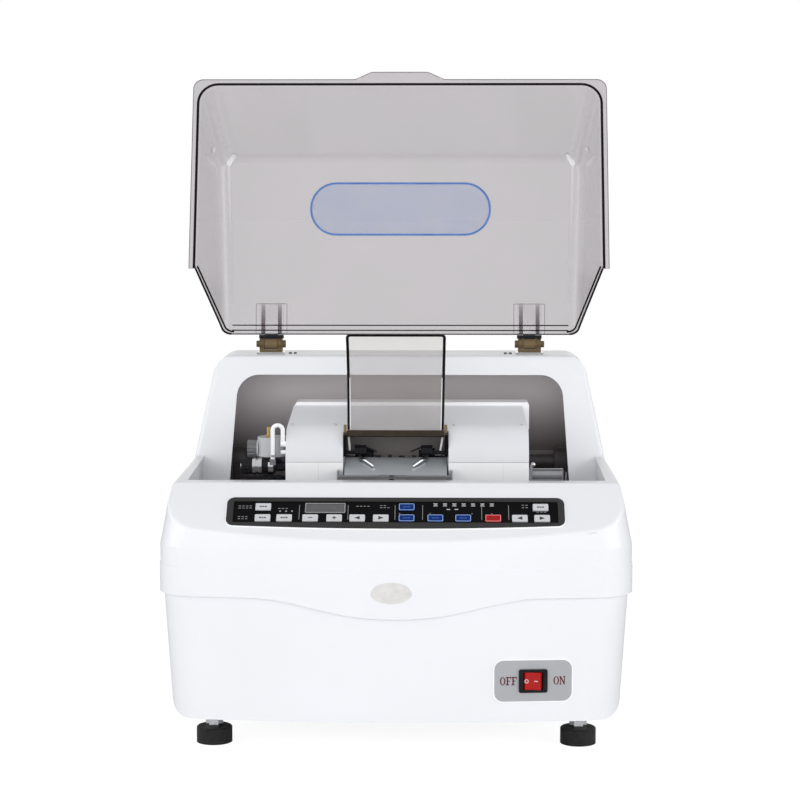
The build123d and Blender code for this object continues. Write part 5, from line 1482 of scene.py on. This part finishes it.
    def leaf_lines(self) -> None:
        """Make the thin outline of each hinge leaf's clear plate, and the dark skirt at its foot."""
        outlines = Former()
        top, edge_y = self.cut_profile[-1]
        slope, half, lift, near, far = math.radians(self.top_slope), 0.0190, 0.0013, 0.001, 0.0385
        for middle in self.leaves:
            corners = [(-half, near), (-half, far), (half, far), (half, near)]
            path = [(middle + x, edge_y - back * math.cos(slope), top + lift - back * math.sin(slope))
                    for x, back in soft_corners(corners, [0.001] * 2, 3)]
            self.bar(outlines, path, 0.0003, (0, 0.17, 1))
        outlines.piece("leaf_outlines", Look.FAINT_EDGE, "lid", "steel_machined")
        skirts = Former()
        for middle in self.leaves:
            place = opened_lid() @ Matrix.Translation((middle, edge_y, top)) @ Matrix.Rotation(slope, 4, "X")
            skirts.prism(box_outline(-0.0152, 0.0152, 0.0002, 0.0046), place, 0.0001, 0.0025)
        skirts.piece("leaf_skirts", Look.BLACK, "lid", "steel_machined", smooth=False)

    def base_screws(self) -> None:
        """Make the small screws beside each hinge on the hood's top."""
        low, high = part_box("lid_hinges")
        screws, behind = Former(), 0.011
        for side, edge in ((-1, low.x), (1, high.x)):
            for step in (0.041, 0.047):
                Screw(0.0021, 0.0013).add(screws, upright(edge - side * step, high.y - behind, low.z))
        screws.piece("hood_screws", Look.CUT_EDGE, "casing", "chrome")


@dataclass
class Flap:
    """Black border of the smoked splash flap, and painted highlights: bright lines inside its lower sides."""

    border: float = 0.0017
    foot_z: float = 0.337
    top_z: float = 0.4490
    foot_left: float = -0.0594
    foot_right: float = 0.0538
    spread: float = 0.0022
    corner: float = 0.0055

    def build(self) -> None:
        """Make the flap's border and its painted highlights."""
        outline = self.outline(self.border + 0.0002)
        border = Former()
        border.bar([self.on_sheet(x, z, 0.0009) for x, z in outline], self.border, Vector((0, 1, 0)))
        border.piece("flap_border", Look.CUT_EDGE, "flap", "smoke_plastic")
        # painted highlights: thin white bars inside the flap's lower sides
        shine, reach, radius = Former(), 0.060, 0.0005
        inner = [(x, z) for x, z in self.outline(0.0036) if z < self.foot_z + reach]
        for right in (False, True):
            path = [self.on_sheet(x, z, -0.0001) for x, z in inner if (x > 0) == right]
            shine.bar(path, radius, Vector((0, 1, 0)))
        shine.piece("flap_painted_highlights", Look.HOSE, "flap", "smoke_plastic")

    def outline(self, inset: float) -> List[Point2]:
        """Return the flap's outline from its left foot over the top to its right foot.

        Args:
            inset: how far inside the flap's own edge it runs.

        Returns:
            The points, close enough together to follow the flap's curve.
        """
        top, spread = self.top_z - inset, self.spread
        corners = [(self.foot_left + inset, self.foot_z), (self.foot_left - spread + inset, top),
                   (self.foot_right + spread - inset, top), (self.foot_right - inset, self.foot_z)]
        line = soft_corners(corners, [self.corner - inset] * 2)
        count = 18
        left = [self.between(line[0], line[1], i / count) for i in range(count)]
        right = [self.between(line[-2], line[-1], i / count) for i in range(1, count + 1)]
        return left + line[1:-1] + right

    @staticmethod
    def between(first: Point2, second: Point2, share: float) -> Point2:
        """Return the point at a share of the way from first to second."""
        return first[0] + (second[0] - first[0]) * share, first[1] + (second[1] - first[1]) * share

    def on_sheet(self, x: float, z: float, depth: float) -> Vector:
        """Return the point of the flap's front at x and z, moved back by depth.

        Args:
            x: the point's X.
            z: its height.
            depth: how far behind the front it lies.

        Returns:
            The point.
        """
        inside = 0.0022
        x_hit = min(max(x, self.foot_left + inside), self.foot_right - inside)
        start = (x_hit, -1.0, min(z, self.top_z - inside))
        hit, place, _, _ = NODES["splash_flap"].ray_cast(start, (0, 1, 0))
        return Vector((x, (place.y if hit else 0.0) + depth, z))


# ------------------------------------------------------------------------------- head
@dataclass
class Head:
    """The head's small pieces: screws, seams, small dark blocks, lugs, a hose collar, dark edges of the bay,
    and painted shade and highlight on the apron.
    """

    screw_y: float = 0.006
    screws_x: Tuple[float, ...] = (-0.1245, -0.0745, 0.0660, 0.1455)
    lugs_x: Point2 = (-0.0618, 0.0558)
    lug_y: float = -0.0105
    lug_z: Point2 = (0.3340, 0.3432)
    edge_widths: Point2 = (0.0042, 0.0048)
    edge_z: Point2 = (0.3065, 0.3315)
    slats_x: Tuple[Point2, ...] = ((-0.0580, -0.0566), (0.0520, 0.0490))
    slat_half: float = 0.0011
    slat_z: Point2 = (0.3275, 0.3095)
    fold_z: Point2 = (0.2832, 0.2856)
    lip_z: Point2 = (0.2781, 0.2795)

    def build(self) -> None:
        """Make the head's small pieces."""
        self.cover_screws()
        self.arm_seams()
        self.ledge_dark_blocks()
        self.hose_collar()
        self.flap_lugs()
        self.bay_edges()
        self.apron_lines()

    def cover_screws(self) -> None:
        """Make the four screws along the top cover's front."""
        top = Face.of("head_cover", (0.0, -0.4, 1.0))
        run = (self.screw_y - top.middle.y) / top.up.y
        screws = Former()
        for x in self.screws_x:
            Screw(0.0021, 0.0010).add(screws, top.matrix(x - top.middle.x, run))
        screws.piece("cover_screws", Look.CHROME, "head", "chrome")

    def arm_seams(self) -> None:
        """Make the two faint joints in the arms' lower covers."""
        low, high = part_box("arm_covers")
        seams = Former()
        for x in (low.x + 0.0385, high.x - 0.0300):
            seams.block((x - 0.0002, x + 0.0002), (low.y - 0.0001, low.y + 0.0002),
                        (low.z + 0.001, high.z - 0.001))
        seams.piece("arm_cover_seams", Look.COVER, "head", "cover_white", smooth=False)

    def ledge_dark_blocks(self) -> None:
        """Make a row of small dark blocks along the apron's upper ledge."""
        _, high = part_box("splash_apron")
        bay_low, bay_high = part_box("lens_bay")
        dark_blocks, count, inset = Former(), 6, 0.020
        span = (bay_high.x - bay_low.x) - 2 * inset
        for i in range(count):
            x = bay_low.x + inset + span * (i + 0.5) / count
            wide = 0.0034 if i % 2 else 0.0022
            dark_blocks.block((x - wide, x + wide), (high.y - 0.0052, high.y - 0.0015),
                        (high.z, high.z + 0.0018 + 0.0007 * (i % 3)))
        dark_blocks.piece("ledge_dark_blocks", Look.BLACK, "head", "black_plastic", bevel=0.0003)

    def flap_lugs(self) -> None:
        """Make the two brass lugs beside the foot of the flap."""
        lugs = Former()
        for x in self.lugs_x:
            lugs.prism(rounded(0.0034, 0.0030, 0.0008, 3), upright(x, self.lug_y, 0.0), *self.lug_z)
        lugs.piece("flap_lugs", Look.DARK_BRASS, "head", "cover_white", bevel=0.0003)

    def bay_edges(self) -> None:
        """Make the dark front edges of the lens bay's sides, and the pale guide slats behind them."""
        low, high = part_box("lens_bay")
        edges, slats = Former(), Former()
        left, right = self.edge_widths
        for span in ((low.x, low.x + left), (high.x - right, high.x)):
            edges.block(span, (low.y - 0.0003, low.y + 0.0020), self.edge_z)
        edges.piece("bay_edges", Look.CUT_EDGE, "head", "bay_dark", smooth=False)
        facing = Matrix.Translation((0, 0.0010, 0)) @ Matrix.Rotation(math.radians(90), 4, "X")
        wide, (top, foot) = self.slat_half, self.slat_z
        for top_x, foot_x in self.slats_x:
            corners = [(top_x - wide, top), (foot_x - wide, foot), (foot_x + wide, foot), (top_x + wide, top)]
            slats.prism(corners, facing, -0.0008, 0.0)
        slats.piece("bay_slats", Look.HOSE, "head", "cover_white", smooth=False)

    def apron_lines(self) -> None:
        """Make a dark line along the fold of the splash apron's step and a bright one along its lower edge:
        painted shade and a painted highlight.
        """
        low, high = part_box("splash_apron")
        # painted shade along the apron's fold, and a painted highlight along its lower edge
        for name, look, z in (("apron_fold_shade", Look.FAINT_EDGE, self.fold_z),
                              ("apron_lip_highlight", Look.EDGE_SILVER, self.lip_z)):
            line = Former().block((low.x + 0.0015, high.x - 0.0015), (low.y - 0.0002, low.y + 0.0010), z)
            line.piece(name, look, "head", "steel_sheet", smooth=False)

    def hose_collar(self) -> None:
        """Make the clip ring where the white hose meets its fitting."""
        low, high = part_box("water_hose")
        radius, z = 0.0025, low.z + 0.0020
        inner, outer = radius + 0.0001, radius + 0.0012
        collar = Former().lathe([(inner, z), (outer, z + 0.0004), (outer, z + 0.0030), (inner, z + 0.0034)],
                                upright(low.x + radius, (low.y + high.y) / 2, 0.0), 24)
        collar.piece("hose_collar", Look.CHROME, "head", "chrome")


# --------------------------------------------------------------------------- the studio
@dataclass
class Studio:
    """Pale floor, soft lights and the camera."""

    pitch: float = 5.7
    yaw: float = 0.94
    focal_px: float = 2234.0
    image_px: float = 800.0
    sensor: float = 36.0
    ambient: float = 0.38
    camera_at: Point3 = (0.0448, -2.6027, 0.631)
    floor_half: float = 30.0
    floor_grey: float = 0.86
    glow: float = 1.41
    glow_share: float = 0.62
    aim: Point3 = (0.0, 0.0, 0.3)

    def build(self) -> None:
        """Make the floor, the world, the lamps and the camera."""
        self.floor()
        self.world()
        self.lamp("front", (-0.6, -3.6, 0.95), (4.6, 1.9), 62.0, False)
        self.lamp("right", (2.9, -1.6, 1.1), (3.0, 2.0), 46.0)
        self.lamp("left", (-2.9, -1.0, 1.1), (3.0, 2.0), 32.0)
        self.camera()
        bpy.context.scene.view_settings.view_transform = "Standard"

    def floor(self) -> None:
        """Make the floor, white to the camera where nothing shades it."""
        half = self.floor_half
        mesh = bpy.data.meshes.new("floor")
        corners = [(x, y, 0) for x, y in box_outline(-half, half, -half, half)]
        mesh.from_pydata(corners, [], [(0, 1, 2, 3)])
        floor = bpy.data.objects.new("floor", mesh)
        bpy.context.scene.collection.objects.link(floor)
        material = bpy.data.materials.new("floor_white")
        graph = Graph(material)
        graph.set("Base Color", (*[self.floor_grey] * 3, 1.0))
        graph.set("Roughness", 0.9)
        graph.set("Specular IOR Level", 0.1)
        glow = graph.node("ShaderNodeEmission", {}, {"Color": (1, 1, 1, 1), "Strength": self.glow})
        path = graph.node("ShaderNodeLightPath", {}, {}, "Is Camera Ray")
        mixed = graph.node("ShaderNodeMixShader", {}, {0: path * self.glow_share})
        graph.tree.links.new(graph.shader.outputs[0], mixed.socket.node.inputs[1])
        graph.tree.links.new(glow.socket, mixed.socket.node.inputs[2])
        graph.tree.links.new(mixed.socket, graph.tree.nodes["Material Output"].inputs["Surface"])
        mesh.materials.append(material)

    def world(self) -> None:
        """Make a pale world that the camera and mirrors see as white."""
        world = bpy.data.worlds.new("studio")
        bpy.context.scene.world = world
        graph = Graph(world, "Background")
        graph.set("Color", (1.0, 1.0, 1.0, 1.0))
        seen, *others = [graph.node("ShaderNodeLightPath", {}, {}, f"Is {ray} Ray")
                         for ray in ("Camera", "Transmission", "Glossy")]
        for other in others:
            seen = seen.above(other)
        graph.set("Strength", graph.node("ShaderNodeMapRange", {}, {0: seen, 3: self.ambient, 4: 1.0}))

    def lamp(self, name: str, at: Point3, size: Point2, watts: float, mirrored: bool = True) -> None:
        """Make a soft lamp aimed at the machine.

        Args:
            name: the lamp's name.
            at: its middle.
            size: its width and height, in metres.
            watts: its power.
            mirrored: whether glossy surfaces show it.
        """
        light = bpy.data.lights.new(name, "AREA")
        light.shape, light.energy = "RECTANGLE", watts
        light.size, light.size_y = size
        made = bpy.data.objects.new(name, light)
        bpy.context.scene.collection.objects.link(made)
        made.location = at
        made.rotation_euler = (Vector(self.aim) - Vector(at)).to_track_quat("-Z", "Y").to_euler()
        made.visible_glossy = mirrored

    def camera(self) -> None:
        """Make the camera."""
        lens = bpy.data.cameras.new("camera")
        lens.sensor_width = self.sensor
        lens.lens = self.focal_px / self.image_px * self.sensor
        lens.clip_end = 200.0
        made = bpy.data.objects.new("camera", lens)
        bpy.context.scene.collection.objects.link(made)
        made.location = self.camera_at
        made.rotation_euler = (math.radians(90 - self.pitch), 0.0, math.radians(self.yaw))
        bpy.context.scene.camera = made


def write_sizes() -> None:
    """Update the view layer, so that every placing is worked out."""
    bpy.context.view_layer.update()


def main() -> None:
    """Dress the part, build its small pieces, and set up the studio."""
    logging.basicConfig(level=logging.INFO, format="%(name)s: %(message)s")
    for section in (CarriedParts().dress, KeyPanel().build, MainsSwitch().build, Casing().build, Lid().build,
                    Flap().build, Head().build, Studio().build):
        section()
    write_sizes()


if __name__ == "__main__":
    main()
